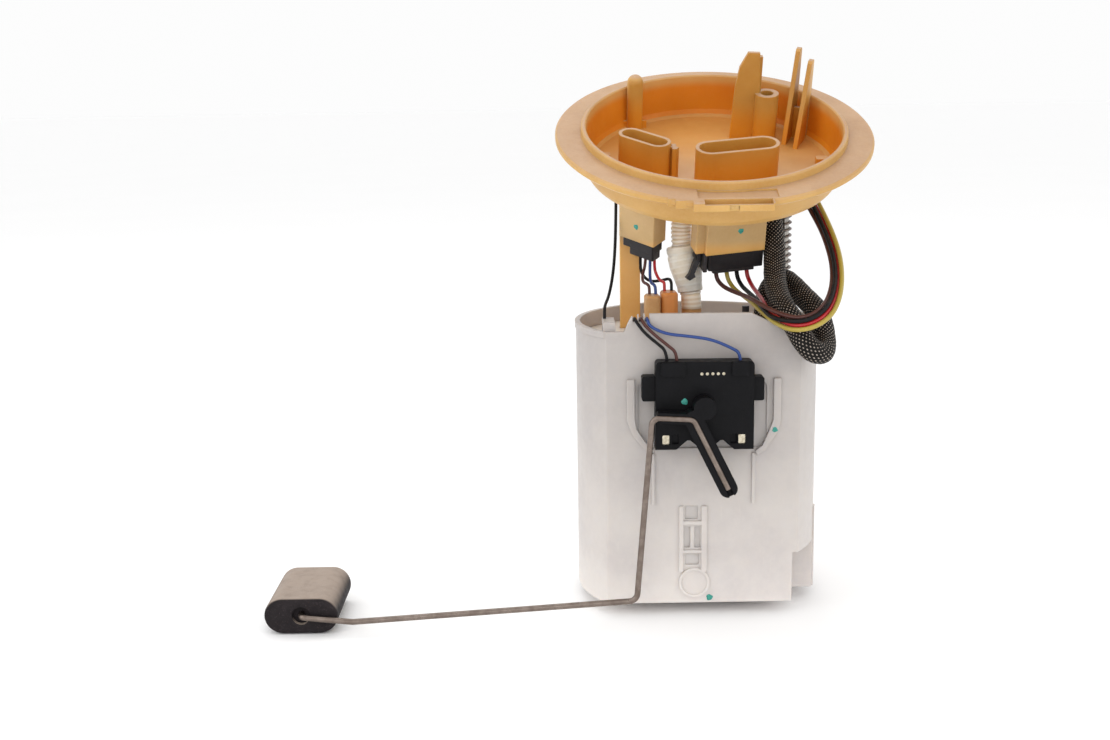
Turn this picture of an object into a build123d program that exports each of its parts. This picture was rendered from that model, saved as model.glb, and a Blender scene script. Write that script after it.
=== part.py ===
from build123d import *
import os
import math

# ---------------------------------------------------------------------------
# Driving dimensions, millimetres. Z = 0 is the floor under the base feet and
# the Z axis is the axis of the reservoir. The sender is on the -Y side.
# ---------------------------------------------------------------------------
foot_h = 6.5  # reservoir floor above the ground
res_r = 58.5  # reservoir outer radius
res_wall = 2.0
res_flat_y = -37.0  # flat front of the reservoir
res_rim_z = 138.9  # round rim
panel_top_z = 147.2  # raised middle of the front panel
panel_t = 2.2

flange_x, flange_y, flange_z = 7.8, -2.5, 229.1  # centre of the flange's top face
flange_tilt = 22.7  # the flange leans towards the front
flange_r = 75.0
flange_t = 3.4
cup_r_in = 60.4
spigot_r = 62.3
cup_depth = 17.5
cup_bottom = 20.0
lip_h = 3.6

box_bottom = 52.6  # underside of the connector boxes, below the flange face
slide_travel = 12.0  # how far the flange can be pushed down

pump_x, pump_y = -6.0, 4.0
pump_r = 19.0
pump_z0, pump_z1 = 54.0, 122.0

pivot_x, pivot_z = -1.2, 106.3  # axis of the sender arm
wire_r = 1.4
wire_y = -55.5
float_x, float_z = -190.0, 9.3
float_w, float_h, float_l = 34.5, 17.4, 44.0

rod_x, rod_y, rod_r = 45.7, 16.0, 2.0
leg_x, leg_y, leg_w, leg_t = -30.6, 23.8, 10.0, 5.0
stud_x, stud_y = 26.2, 12.0

hose_d = 10.5
feed_d = 11.0
lead_d = 2.1
thin_d = 1.5
lead_gap = 0.12  # clearance round a lead in its hole

os.makedirs("parts", exist_ok=True)


def save(block, name):
    block.part.label = name
    export_step(block.part, "parts/" + name + ".step")


st, ct = math.sin(math.radians(flange_tilt)), math.cos(math.radians(flange_tilt))
FC = Vector(flange_x, flange_y, flange_z)
FV = Vector(0, ct, st)
FN = Vector(0, -st, ct)
FL = Plane(origin=FC, x_dir=(1, 0, 0), z_dir=FN)  # flange face
FLC = Plane(origin=FC, x_dir=(1, 0, 0), z_dir=(0, -ct, -st))  # section, y is the normal
flange_axis = Axis(FC, FN)
lc_x, lc_y, lc_a = -33.0, -7.5, -39.5  # left connector in the flange face
rc_x, rc_y, rc_a = 9.5, -17.7, 10.6  # right connector in the flange face


def fw(a, b, c):
    """A point given in the flange's own frame."""
    return FC + Vector(1, 0, 0) * a + FV * b + FN * c


def lcp(u, v, c):
    r = math.radians(lc_a)
    return fw(lc_x + u * math.cos(r) - v * math.sin(r), lc_y + u * math.sin(r) + v * math.cos(r), c)


def rcp(u, v, c):
    r = math.radians(rc_a)
    return fw(rc_x + u * math.cos(r) - v * math.sin(r), rc_y + u * math.sin(r) + v * math.cos(r), c)


def front(y):
    """Plane facing the front at depth y: sketch x is X, sketch y is Z, extrude goes towards -Y."""
    return Plane(origin=(0, y, 0), x_dir=(1, 0, 0), z_dir=(0, -1, 0))


def route_radii(name, pts, dia):
    pts = [Vector(*p) for p in pts]
    radii, length = [], 0
    for i in range(1, len(pts) - 1):
        a, b = pts[i] - pts[i - 1], pts[i + 1] - pts[i]
        turn = math.radians(a.get_angle(b))
        radii.append(0.45 * min(a.length, b.length) / math.tan(turn / 2))
    return radii


def cord(name, pts, dia):
    """A round cord along straight runs joined by tangent arcs."""
    radii = route_radii(name, pts, dia)
    with BuildPart() as tube:
        with BuildLine() as path:
            if radii:
                FilletPolyline(*pts, radius=radii)
            else:
                Line(*pts)
        with BuildSketch(Plane(origin=path.line @ 0, z_dir=path.line % 0)):
            Circle(dia / 2)
        sweep(path=path.line)
    run = sum(e.length for e in path.edges())
    want = math.pi * dia * dia / 4 * run
    print(name, "length", round(run, 1), "smallest radius", round(min(radii), 1) if radii else "straight",
          "radii", [round(r, 1) for r in radii], "volume ratio", round(tube.part.volume / want, 4))
    save(tube, name)


# ---------------------------------------------------------------------------
# Reservoir
# ---------------------------------------------------------------------------
notch_x, notch_y, notch_z = 42.8, -18.0, 31.0  # lower right corner recess
with BuildPart() as reservoir:
    with BuildSketch(Plane.XY.offset(foot_h)):
        Circle(res_r)
        with Locations((0, res_flat_y - 30)):
            Rectangle(160, 60, mode=Mode.SUBTRACT)
    extrude(amount=res_rim_z - foot_h)
    # raised front panel with a sloped right shoulder
    with BuildSketch(front(res_flat_y + panel_t)):
        Polygon((-44.5, foot_h), (44.5, foot_h), (44.5, 136.4), (40.0, 136.6), (30.5, 142.8), (22.0, 147.0),
                (-29.5, panel_top_z), (-33.4, 145.9), (-34.8, 143.4), (-36.8, 138.9), (-44.5, 138.9), align=None)
    extrude(amount=panel_t)
    # three notches in the top edge for the sender leads
    with BuildSketch(front(res_flat_y + panel_t + 1)):
        with Locations((-31.8, 143.5 + 5), (-29.0, 143.5 + 5), (-26.2, 143.5 + 5)):
            Rectangle(2.2, 10)
    extrude(amount=panel_t + 2, mode=Mode.SUBTRACT)
    # hollow inside
    with BuildSketch(Plane.XY.offset(foot_h + res_wall)):
        Circle(res_r - res_wall)
        with Locations((0, res_flat_y + panel_t - 30)):
            Rectangle(160, 60, mode=Mode.SUBTRACT)
        with Locations(((notch_x + 60) / 2 - res_wall, (notch_y - 60) / 2 + res_wall)):
            Rectangle(60 - notch_x, 60 + notch_y, mode=Mode.SUBTRACT)
    extrude(amount=notch_z - foot_h, mode=Mode.SUBTRACT)
    with BuildSketch(Plane.XY.offset(notch_z + res_wall)):
        Circle(res_r - res_wall)
        with Locations((0, res_flat_y + panel_t - 30)):
            Rectangle(160, 60, mode=Mode.SUBTRACT)
    extrude(amount=120, mode=Mode.SUBTRACT)
    # lower right corner recess, outside
    with BuildSketch(Plane.XY.offset(foot_h - 1)):
        with Locations(((notch_x + 80) / 2, (notch_y - 80) / 2)):
            Rectangle(80 - notch_x, 80 + notch_y)
    extrude(amount=notch_z - foot_h + 1, mode=Mode.SUBTRACT)
    # outer lip at the rim
    with BuildSketch(Plane.XY.offset(res_rim_z - 3.0)):
        Circle(res_r + 0.5)
        Circle(res_r - 0.5, mode=Mode.SUBTRACT)
        with Locations((0, res_flat_y - 29.4)):
            Rectangle(160, 60, mode=Mode.SUBTRACT)
    extrude(amount=3.0)
    # ledge that carries the pump holder
    with BuildSketch(Plane.XY.offset(126.5)):
        Circle(res_r - res_wall + 0.5)
        Circle(res_r - res_wall - 2.2, mode=Mode.SUBTRACT)
        with Locations((0, res_flat_y + panel_t - 29)):
            Rectangle(160, 60, mode=Mode.SUBTRACT)
    extrude(amount=2.2)
    # foot valve seat and stem hole in the floor
    with Locations((-5, 24, foot_h)):
        Cylinder(1.55, 12, mode=Mode.SUBTRACT)
    with Locations((-5, 24, foot_h)):
        with PolarLocations(5.2, 6):
            Cylinder(1.7, 12, mode=Mode.SUBTRACT)
    # U shaped frame round the sender, two slim ribs below it
    with BuildSketch(front(res_flat_y + 0.4)):
        with BuildLine():
            Polyline((-35.8, 116.5), (-35.8, 96.5), (-33.2, 90.2), (-28.2, 83.4), (-24.6, 81.0), (-23.0, 82.6), (-27.0, 86.2), (-31.4, 93.0),
                     (-32.2, 98.0), (-32.2, 116.5), close=True)
        make_face()
        with BuildLine():
            Polyline((35.9, 116.3), (35.9, 95.4), (34.6, 91.0), (28.8, 81.8), (25.4, 79.8), (24.2, 81.6), (27.6, 84.2), (31.2, 92.6),
                     (32.6, 96.6), (32.6, 116.3), close=True)
        make_face()
    extrude(amount=0.4 + 1.9)
    with BuildSketch(front(res_flat_y + 0.4)):
        with Locations((-23.6, 68.2), (23.7, 68.2)):
            SlotOverall(25.0, 1.5, rotation=90)
    extrude(amount=0.4 + 0.9)
    # ladder of the lower clip: two rails, cross bars and the round boss
    with BuildSketch(front(res_flat_y + 0.4)):
        with Locations((-10.3, 38.6)):
            Rectangle(2.0, 32.6)
        with Locations((0.6, 38.6)):
            Rectangle(2.6, 32.6)
        with Locations((-4.95, 46.6)):
            Rectangle(10, 1.8)
        with Locations((-4.95, 32.4)):
            Rectangle(10, 1.4)
        with Locations((-4.0, 16.8)):
            Circle(7.4)
            Circle(6.1, mode=Mode.SUBTRACT)
    extrude(amount=0.4 + 1.1)
    with BuildSketch(front(res_flat_y + 0.4)):
        with Locations((-4.0, 16.8)):
            Circle(6.2)
    extrude(amount=0.4 + 0.5)
    # shallow pockets: beside the sender and in the ladder
    with BuildSketch(front(res_flat_y - 0.1)):
        with Locations((-0.5, 99.6)):
            RectangleRounded(60.2, 33.0, 5.0)
    extrude(amount=-1.0, mode=Mode.SUBTRACT)
    with BuildSketch(front(res_flat_y - 0.1)):
        with Locations((-7.4, 39.4), (-2.6, 39.4)):
            RectangleRounded(2.9, 10.6, 0.6)
        with Locations((-5.4, 51.6)):
            RectangleRounded(6.2, 6.6, 0.8)
        with Locations((-5.0, 28.3)):
            RectangleRounded(6.7, 5.6, 0.8)
    extrude(amount=-1.3, mode=Mode.SUBTRACT)
    # strip on the right side wall
    with BuildSketch(Plane.XY.offset(foot_h)):
        with Locations(Location((0, 0, 0), (0, 0, 1), -14.5)):
            with Locations((res_r - 0.1, 0)):
                Rectangle(1.6, 3.4)
    extrude(amount=41)
    # clip block for the side lead inside the front left corner
    with Locations((-43.6, -27.1, 137.4)):
        Box(5.6, 15.8, 11.4)
    with Locations((-45.3, -22.8, 137.0)):
        Cylinder(thin_d / 2 + lead_gap, 20, align=(Align.CENTER, Align.CENTER, Align.MIN), mode=Mode.SUBTRACT)
save(reservoir, "reservoir")

# Base plate under the reservoir with its feet. The middle foot is the origin.
with BuildPart() as base_plate:
    with BuildSketch(Plane.XY.offset(foot_h - 2.2)):
        Circle(44)
        with Locations((0, -28 - 30)):
            Rectangle(120, 60, mode=Mode.SUBTRACT)
        with Locations((-5, 24)):
            Circle(8.2, mode=Mode.SUBTRACT)
    extrude(amount=2.2)
    with BuildSketch(Plane.XY):
        with Locations((0, 0), (-34, -12), (34, -12), (-27, 28), (27, 28)):
            Circle(5.0)
    extrude(amount=foot_h - 2.2)
    with BuildSketch(Plane.XY.offset(foot_h - 3.4)):
        with Locations((-5, 24)):
            Circle(10.0)
            Circle(8.2, mode=Mode.SUBTRACT)
    extrude(amount=2.0)
save(base_plate, "base_plate")

# Foot valve: a flap disc on a stem that lifts off the floor holes.
with BuildPart() as foot_valve:
    with Locations((-5, 24, foot_h + res_wall + 0.05)):
        Cylinder(7.6, 0.9, align=(Align.CENTER, Align.CENTER, Align.MIN))
    with Locations((-5, 24, foot_h - 2.4)):
        Cylinder(1.5, 4.6, align=(Align.CENTER, Align.CENTER, Align.MIN))
    with Locations((-5, 24, foot_h - 3.0)):
        Cylinder(2.3, 0.8, align=(Align.CENTER, Align.CENTER, Align.MIN))
save(foot_valve, "foot_valve")

# Pump holder: plate on the ledge with a sleeve for the pump
holder_z = 128.7
with BuildPart() as pump_holder:
    with BuildSketch(Plane.XY.offset(holder_z)):
        Circle(res_r - res_wall - 0.3)
        with Locations((0, res_flat_y + panel_t + 0.3 - 30)):
            Rectangle(160, 60, mode=Mode.SUBTRACT)
    extrude(amount=2.4)
    with BuildSketch(Plane.XY.offset(96)):
        with Locations((pump_x, pump_y)):
            Circle(pump_r + 4.4)
    extrude(amount=holder_z - 96 + 1)
    with Locations((pump_x, pump_y, 80)):
        Cylinder(pump_r + 2.4, 60, align=(Align.CENTER, Align.CENTER, Align.MIN), mode=Mode.SUBTRACT)
    with Locations((leg_x, leg_y, 128)):
        Box(leg_w + 0.8, leg_t + 0.8, 12, mode=Mode.SUBTRACT)
    with Locations((rod_x, rod_y, 128)):
        Cylinder(rod_r + 0.06, 20, mode=Mode.SUBTRACT)
    with Locations((35.5, 12.0, 128)):
        Cylinder(3.0, 20, mode=Mode.SUBTRACT)
    with Locations((stud_x, stud_y, 128)):
        Cylinder(1.15, 20, mode=Mode.SUBTRACT)
    with BuildSketch(Plane.XY.offset(holder_z - 1)):
        with Locations((2, 38), (26, -19), (-36, -12)):
            SlotOverall(16, 9)
    extrude(amount=5, mode=Mode.SUBTRACT)
    # seat for the spring and boss for the rod
    with BuildSketch(Plane.XY.offset(holder_z + 2.4)):
        with Locations((rod_x, rod_y)):
            Circle(4.6)
            Circle(3.8, mode=Mode.SUBTRACT)
    extrude(amount=1.6)
save(pump_holder, "pump_holder")

# Small vent stud standing on the holder
with BuildPart() as vent_stud:
    with Locations((stud_x, stud_y, holder_z + 2.42)):
        Cylinder(1.75, 11.6, align=(Align.CENTER, Align.CENTER, Align.MIN))
    with Locations((stud_x, stud_y, holder_z + 2.42)):
        Cylinder(2.5, 1.4, align=(Align.CENTER, Align.CENTER, Align.MIN))
    with Locations((stud_x, stud_y, holder_z - 1.6)):
        Cylinder(1.1, 5.0, align=(Align.CENTER, Align.CENTER, Align.MIN))
save(vent_stud, "vent_stud")

# Return hose union on the holder
with BuildPart() as return_union:
    with Locations((35.5, 12.0, holder_z + 2.45)):
        Cylinder(5.2, 2.8, align=(Align.CENTER, Align.CENTER, Align.MIN))
    with Locations((35.5, 12.0, holder_z - 11.5)):
        Cylinder(2.9, 14.5, align=(Align.CENTER, Align.CENTER, Align.MIN))
    with Locations((35.5, 12.0, holder_z - 15)):
        Cylinder(1.8, 30, align=(Align.CENTER, Align.CENTER, Align.MIN), mode=Mode.SUBTRACT)
save(return_union, "return_union")

# Rubber isolator between pump and holder
with BuildPart() as isolator:
    with BuildSketch(Plane.XY.offset(99)):
        with Locations((pump_x, pump_y)):
            Circle(pump_r + 2.38)
            Circle(pump_r + 0.02, mode=Mode.SUBTRACT)
    extrude(amount=20)
save(isolator, "pump_isolator")

# ---------------------------------------------------------------------------
# Electric pump
# ---------------------------------------------------------------------------
PP = (pump_x, pump_y)
with BuildPart() as pump_can:
    with BuildSketch(Plane.XY.offset(pump_z0)):
        with Locations(PP):
            Circle(pump_r)
            Circle(pump_r - 1.0, mode=Mode.SUBTRACT)
    extrude(amount=pump_z1 - pump_z0)
save(pump_can, "pump_can")

with BuildPart() as pump_inlet:
    with BuildSketch(Plane.XY.offset(pump_z0 - 6)):
        with Locations(PP):
            Circle(pump_r - 1.2)
    extrude(amount=14)
    with BuildSketch(Plane.XY.offset(pump_z0 - 14)):
        with Locations((pump_x - 8, pump_y)):
            Circle(5.5)
    extrude(amount=9)
    with Locations((pump_x, pump_y, pump_z0 + 2)):
        Cylinder(15.2, 20, align=(Align.CENTER, Align.CENTER, Align.MIN), mode=Mode.SUBTRACT)
    with Locations((pump_x, pump_y, pump_z0 - 3)):
        Cylinder(1.55, 20, align=(Align.CENTER, Align.CENTER, Align.MIN), mode=Mode.SUBTRACT)
    with Locations((pump_x - 8, pump_y, pump_z0 - 20)):
        Cylinder(3.6, 30, align=(Align.CENTER, Align.CENTER, Align.MIN), mode=Mode.SUBTRACT)
save(pump_inlet, "pump_inlet_cover")

with BuildPart() as pump_rotor:
    with Locations((pump_x, pump_y, pump_z0 - 2.4)):
        Cylinder(1.5, 66.2, align=(Align.CENTER, Align.CENTER, Align.MIN))
    with Locations((pump_x, pump_y, pump_z0 + 3)):
        Cylinder(14.6, 4.2, align=(Align.CENTER, Align.CENTER, Align.MIN))
    with Locations((pump_x, pump_y, pump_z0 + 16)):
        Cylinder(12.2, 38, align=(Align.CENTER, Align.CENTER, Align.MIN))
    with Locations((pump_x, pump_y, pump_z0 + 54)):
        Cylinder(7.0, 5.4, align=(Align.CENTER, Align.CENTER, Align.MIN))
save(pump_rotor, "pump_armature")

with BuildPart() as magnets:
    with BuildSketch(Plane.XY.offset(pump_z0 + 14)):
        with Locations(PP):
            Circle(pump_r - 1.1)
            Circle(13.2, mode=Mode.SUBTRACT)
            Rectangle(60, 9, mode=Mode.SUBTRACT)
    extrude(amount=42)
save(magnets, "pump_magnets")

cap_z = 131.0
with BuildPart() as pump_cap:
    with BuildSketch(Plane.XY.offset(pump_z1 - 8)):
        with Locations(PP):
            Circle(pump_r - 1.1)
    extrude(amount=8.1)
    with BuildSketch(Plane.XY.offset(pump_z1 + 0.05)):
        with Locations(PP):
            Circle(pump_r - 0.2)
    extrude(amount=cap_z - pump_z1 - 0.05)
    with Locations((pump_x, pump_y, pump_z1 - 20)):
        Cylinder(1.56, 16.5, align=(Align.CENTER, Align.CENTER, Align.MIN), mode=Mode.SUBTRACT)
    # outlet barb
    with Locations((-1.4, 6, cap_z)):
        Cylinder(4.9, 12.0, align=(Align.CENTER, Align.CENTER, Align.MIN))
    with Locations((-1.4, 6, cap_z - 3)):
        Cylinder(2.4, 20, align=(Align.CENTER, Align.CENTER, Align.MIN), mode=Mode.SUBTRACT)
save(pump_cap, "pump_end_cap")

# two terminal towers on the cap
with BuildPart() as tower_a:
    with BuildSketch(Plane.XY.offset(cap_z)):
        with Locations((-21.2, -1.4)):
            RectangleRounded(7.6, 12.4, 3.0)
    extrude(amount=151.0 - cap_z)
    chamfer(tower_a.faces().sort_by(Axis.Z)[-1].edges(), 0.9)
    with Locations((-22.3, 0.8, 144.2), (-19.3, 0.8, 144.2)):
        Cylinder(thin_d / 2 + lead_gap, 12, align=(Align.CENTER, Align.CENTER, Align.MIN), mode=Mode.SUBTRACT)
save(tower_a, "terminal_tower_left")
with BuildPart() as tower_b:
    with BuildSketch(Plane.XY.offset(cap_z)):
        with Locations((-12.9, 1.2)):
            RectangleRounded(8.2, 13.4, 3.0)
    extrude(amount=152.2 - cap_z)
    chamfer(tower_b.faces().sort_by(Axis.Z)[-1].edges(), 0.9)
    with Locations((-14.8, 3.6, 144.2), (-11.4, 3.6, 144.2)):
        Cylinder(thin_d / 2 + lead_gap, 12, align=(Align.CENTER, Align.CENTER, Align.MIN), mode=Mode.SUBTRACT)
save(tower_b, "terminal_tower_right")

# Inlet strainer, a flat sock on the reservoir floor
with BuildPart() as strainer:
    with BuildSketch(Plane.XY.offset(22)):
        with Locations((-14, 2)):
            RectangleRounded(44, 34, 12)
    extrude(amount=9)
    fillet(strainer.faces().sort_by(Axis.Z)[-1].edges(), 3.0)
    with Locations((pump_x - 8, pump_y, 30)):
        Cylinder(6.4, 9.8, align=(Align.CENTER, Align.CENTER, Align.MIN))
    with Locations((pump_x - 8, pump_y, 33)):
        Cylinder(3.5, 12, align=(Align.CENTER, Align.CENTER, Align.MIN), mode=Mode.SUBTRACT)
save(strainer, "inlet_strainer")

# Jet pump that keeps the reservoir full
with BuildPart() as jet_pump:
    with BuildSketch(Plane.XY.offset(foot_h + res_wall)):
        with Locations((30, 4)):
            RectangleRounded(12, 34, 3)
    extrude(amount=9)
    with BuildSketch(Plane.XY.offset(foot_h + res_wall + 9)):
        with Locations((35.5, 12.0)):
            Circle(4.2)
    extrude(amount=103)
    with Locations((35.5, 12.0, foot_h + 9)):
        Cylinder(2.95, 130, align=(Align.CENTER, Align.CENTER, Align.MIN), mode=Mode.SUBTRACT)
    with BuildSketch(Plane(origin=(30, -20, foot_h + res_wall + 4.5), x_dir=(1, 0, 0), z_dir=(0, 1, 0))):
        Circle(2.0)
    extrude(amount=30, mode=Mode.SUBTRACT)
save(jet_pump, "jet_pump")

# ---------------------------------------------------------------------------
# Flange cover
# ---------------------------------------------------------------------------
with BuildPart() as flange:
    with BuildSketch(FLC):
        Polygon((0, -cup_bottom), (57.3, -cup_bottom), (59.6, -19.2), (60.9, -17.0), (spigot_r, -10.0), (spigot_r, -flange_t),
                (flange_r - 0.9, -flange_t), (flange_r, -flange_t + 0.9), (flange_r, -0.8), (flange_r - 0.8, 0),
                (63.0, 0), (62.7, lip_h - 0.6), (62.1, lip_h), (61.0, lip_h), (cup_r_in, lip_h - 0.6),
                (59.5, -14.2), (58.6, -16.4), (56.8, -cup_depth), (0, -cup_depth), align=None)
    revolve(axis=flange_axis)
    # guide leg, parallel to the reservoir axis
    with BuildSketch(Plane.XY.offset(78)):
        with Locations((leg_x, leg_y)):
            Rectangle(leg_w, leg_t)
    extrude(amount=222 - 78)
    # boss for the rod, spigots for both hoses
    with BuildSketch(Plane.XY.offset(200)):
        with Locations((rod_x, rod_y)):
            Circle(4.2)
    extrude(amount=20)
    with Locations((rod_x, rod_y, 190)):
        Cylinder(rod_r, 19, align=(Align.CENTER, Align.CENTER, Align.MIN), mode=Mode.SUBTRACT)
    with BuildSketch(Plane.XY.offset(206)):
        with Locations((-5.6, 8.5), (36.2, 13)):
            Circle(6.3)
    extrude(amount=14)
    # clear the inside of the cup again
    with BuildSketch(FLC):
        Polygon((0, -cup_depth), (56.8, -cup_depth), (58.6, -16.4), (59.5, -14.2), (cup_r_in, lip_h - 0.6), (cup_r_in, 20), (0, 20), align=None)
    revolve(axis=flange_axis, mode=Mode.SUBTRACT)
    # socket towers, upper part
    with BuildSketch(FL.offset(-cup_depth - 1)):
        with Locations(Location((lc_x, lc_y, 0), (0, 0, 1), lc_a)):
            SlotOverall(27.6, 11.6)
        with Locations(Location((rc_x, rc_y, 0), (0, 0, 1), rc_a)):
            SlotOverall(40.0, 14.6)
    extrude(amount=cup_depth + 1 + 0.6)
    # key rib beside the left socket
    with BuildSketch(FL.offset(-cup_depth - 1)):
        with Locations(Location((lc_x, lc_y, 0), (0, 0, 1), lc_a)):
            with Locations((14.6, 3.4)):
                Rectangle(4.0, 2.0)
        with Locations((-19.6, -13.5)):
            Rectangle(2.2, 6.0)
    extrude(amount=cup_depth - 0.6)
    # connector boxes below the cup
    with BuildSketch(FL.offset(-box_bottom)):
        with Locations(Location((lc_x, lc_y, 0), (0, 0, 1), lc_a)):
            RectangleRounded(20.8, 10.4, 0.5)
        with Locations(Location((rc_x, rc_y, 0), (0, 0, 1), rc_a)):
            RectangleRounded(29.4, 14.2, 0.5)
            with Locations((-16.4, 0.4)):
                RectangleRounded(5.2, 9.4, 0.5)
    extrude(amount=box_bottom - cup_bottom + 1)
    # domed post with its collar
    with BuildSketch(FL.offset(-cup_depth - 1)):
        with Locations((-34.5, 45.0)):
            Circle(4.0)
    extrude(amount=cup_depth + 1 + 6.5)
    with BuildSketch(Plane(origin=fw(-34.5, 45.0, 6.5), x_dir=(1, 0, 0), z_dir=(0, -ct, -st))):
        with BuildLine():
            Line((0, 0), (4.0, 0))
            CenterArc((0, 0), 4.0, 0, 90)
            Line((0, 4.0), (0, 0))
        make_face()
    revolve(axis=Axis(fw(-34.5, 45.0, 0), FN))
    with BuildSketch(FL.offset(-cup_depth - 1)):
        with Locations((-34.5, 44.5)):
            Rectangle(12.0, 1.8)
    extrude(amount=5.0)
    # hollow outlet post
    with BuildSketch(FL.offset(-cup_depth - 1)):
        with Locations((29.0, 29.3)):
            Circle(5.8)
    extrude(amount=cup_depth + 1 + 6.3)
    # guide fin beside it, L section, tapered
    with BuildSketch(Plane(origin=fw(0, 31.5, 0), x_dir=(1, 0, 0), z_dir=(0, -ct, -st))):
        Polygon((12.0, -cup_depth - 1), (26.8, -cup_depth - 1), (24.4, 26.6), (18.8, 26.9), (15.0, 19.5), (13.4, 10.0), align=None)
    extrude(amount=2.2)
    with BuildSketch(Plane(origin=fw(24.6, 31.0, 0), x_dir=FV, z_dir=(1, 0, 0))):
        Polygon((0, -cup_depth - 1), (9.5, -cup_depth - 1), (3.0, 24.0), (0, 24.0), align=None)
    extrude(amount=1.6, both=True)
    # pair of tall side fins, parallel blades that slope down towards the front
    fin_x = Vector(-0.416, -0.909 * ct, -0.909 * st)
    fin_n = Vector(-0.909, 0.416 * ct, 0.416 * st)
    with BuildSketch(Plane(origin=fw(44.6, 36.0, 0), x_dir=fin_x, z_dir=fin_n)):
        Polygon((0, -cup_depth - 1), (0, 26.2), (0.9, 27.2), (3.0, 27.0), (3.8, 26.0), (16.6, -cup_depth), (16.6, -cup_depth - 1), align=None)
    extrude(amount=1.1, both=True)
    with BuildSketch(Plane(origin=fw(50.4, 33.0, 0), x_dir=fin_x, z_dir=fin_n)):
        Polygon((0, -cup_depth - 1), (0, 21.2), (0.9, 22.2), (3.4, 22.0), (4.2, 21.0), (19.0, -cup_depth), (19.0, -cup_depth - 1), align=None)
    extrude(amount=1.1, both=True)
    # low web that joins them
    with BuildSketch(FL.offset(-cup_depth - 1)):
        with Locations(Location((46.2, 29.6, 0), (0, 0, 1), 65.4)):
            Rectangle(1.6, 6.4)
    extrude(amount=17.0)
    # small tabs at the foot of the wall
    with BuildSketch(FL.offset(-cup_depth - 1)):
        with Locations((-51.6, 3.0), (52.0, -5.0)):
            RectangleRounded(6.0, 4.0, 0.8)
    extrude(amount=6.0)
    # locating tab at the front of the rim, with a slot behind its front wall
    with BuildSketch(FL.offset(-3.9)):
        with Locations((1.2, -70.6)):
            Rectangle(35.0, 10.4)
        with Locations((-20.0, -68.8)):
            Rectangle(7.4, 7.0)
        with Locations((-24.8, -67.2)):
            Rectangle(4.4, 6.4)
    extrude(amount=3.8)
    with BuildSketch(FL.offset(-3.0)):
        with Locations((3.3, -73.2)):
            Rectangle(29.4, 3.6)
    extrude(amount=4.0, mode=Mode.SUBTRACT)
    with BuildSketch(FL.offset(-0.7)):
        with Locations((3.3, -75.4)):
            Rectangle(29.4, 2.0)
    extrude(amount=2.0, mode=Mode.SUBTRACT)
    with BuildSketch(FL.offset(-4.0)):
        with Locations((1.4, -75.8)):
            Rectangle(4.2, 1.4)
    extrude(amount=2.8, mode=Mode.SUBTRACT)
    with BuildSketch(FL.offset(-0.9)):
        with Locations((3.7, -66.2)):
            Rectangle(35.0, 8.0)
        Circle(63.4, mode=Mode.SUBTRACT)
    extrude(amount=2.0, mode=Mode.SUBTRACT)
    # upper sockets, hollow
    with BuildSketch(FL.offset(-16.0)):
        with Locations(Location((lc_x, lc_y, 0), (0, 0, 1), lc_a)):
            SlotOverall(24.4, 8.4)
        with Locations(Location((rc_x, rc_y, 0), (0, 0, 1), rc_a)):
            SlotOverall(36.6, 11.2)
    extrude(amount=30, mode=Mode.SUBTRACT)
    # lower sockets, hollow
    with BuildSketch(FL.offset(-box_bottom - 1)):
        with Locations(Location((lc_x, lc_y, 0), (0, 0, 1), lc_a)):
            Rectangle(17.8, 7.4)
        with Locations(Location((rc_x, rc_y, 0), (0, 0, 1), rc_a)):
            Rectangle(26.4, 11.2)
            with Locations((-16.2, 0.9)):
                Rectangle(3.2, 5.4)
    extrude(amount=box_bottom + 1 - 21.0, mode=Mode.SUBTRACT)
    # outlet bore through the post and the floor
    with BuildSketch(FL.offset(-40)):
        with Locations((29.0, 29.3)):
            Circle(3.15)
    extrude(amount=60, mode=Mode.SUBTRACT)
    # lead gland under the cup
    with BuildSketch(FL.offset(-27)):
        with Locations((46, 17)):
            RectangleRounded(13.6, 6.0, 2.0)
    extrude(amount=8)
    with BuildSketch(FL.offset(-28)):
        with Locations((46 - 4.05, 17), (46 - 1.35, 17), (46 + 1.35, 17), (46 + 4.05, 17)):
            Circle(lead_d / 2 + lead_gap)
    extrude(amount=6, mode=Mode.SUBTRACT)
    # small gland for the side lead
    with BuildSketch(FL.offset(-25)):
        with Locations((-45.5, 5.5)):
            Circle(2.6)
    extrude(amount=6)
    with BuildSketch(FL.offset(-26)):
        with Locations((-45.5, 5.5)):
            Circle(thin_d / 2 + lead_gap)
    extrude(amount=4, mode=Mode.SUBTRACT)
save(flange, "flange_cover")

# terminals standing in both upper sockets and reaching the lower ones
with BuildPart() as left_pins:
    with BuildSketch(FL.offset(-30.9)):
        with Locations(Location((lc_x, lc_y, 0), (0, 0, 1), lc_a)):
            with Locations((-6, 0), (-2, 0), (2, 0), (6, 0)):
                Rectangle(1.6, 0.7)
    extrude(amount=26)
save(left_pins, "left_socket_terminals")
with BuildPart() as right_pins:
    with BuildSketch(FL.offset(-30.9)):
        with Locations(Location((rc_x, rc_y, 0), (0, 0, 1), rc_a)):
            with Locations((-9, 0), (-3, 0), (3, 0), (9, 0)):
                Rectangle(2.8, 0.8)
    extrude(amount=26)
save(right_pins, "right_socket_terminals")
with BuildPart() as flange_slots:
    with BuildSketch(FL.offset(-30.95)):
        with Locations(Location((lc_x, lc_y, 0), (0, 0, 1), lc_a)):
            with Locations((-6, 0), (-2, 0), (2, 0), (6, 0)):
                Rectangle(1.62, 0.72)
        with Locations(Location((rc_x, rc_y, 0), (0, 0, 1), rc_a)):
            with Locations((-9, 0), (-3, 0), (3, 0), (9, 0)):
                Rectangle(2.82, 0.82)
    extrude(amount=26.1)
flange_holed = flange.part - flange_slots.part
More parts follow.
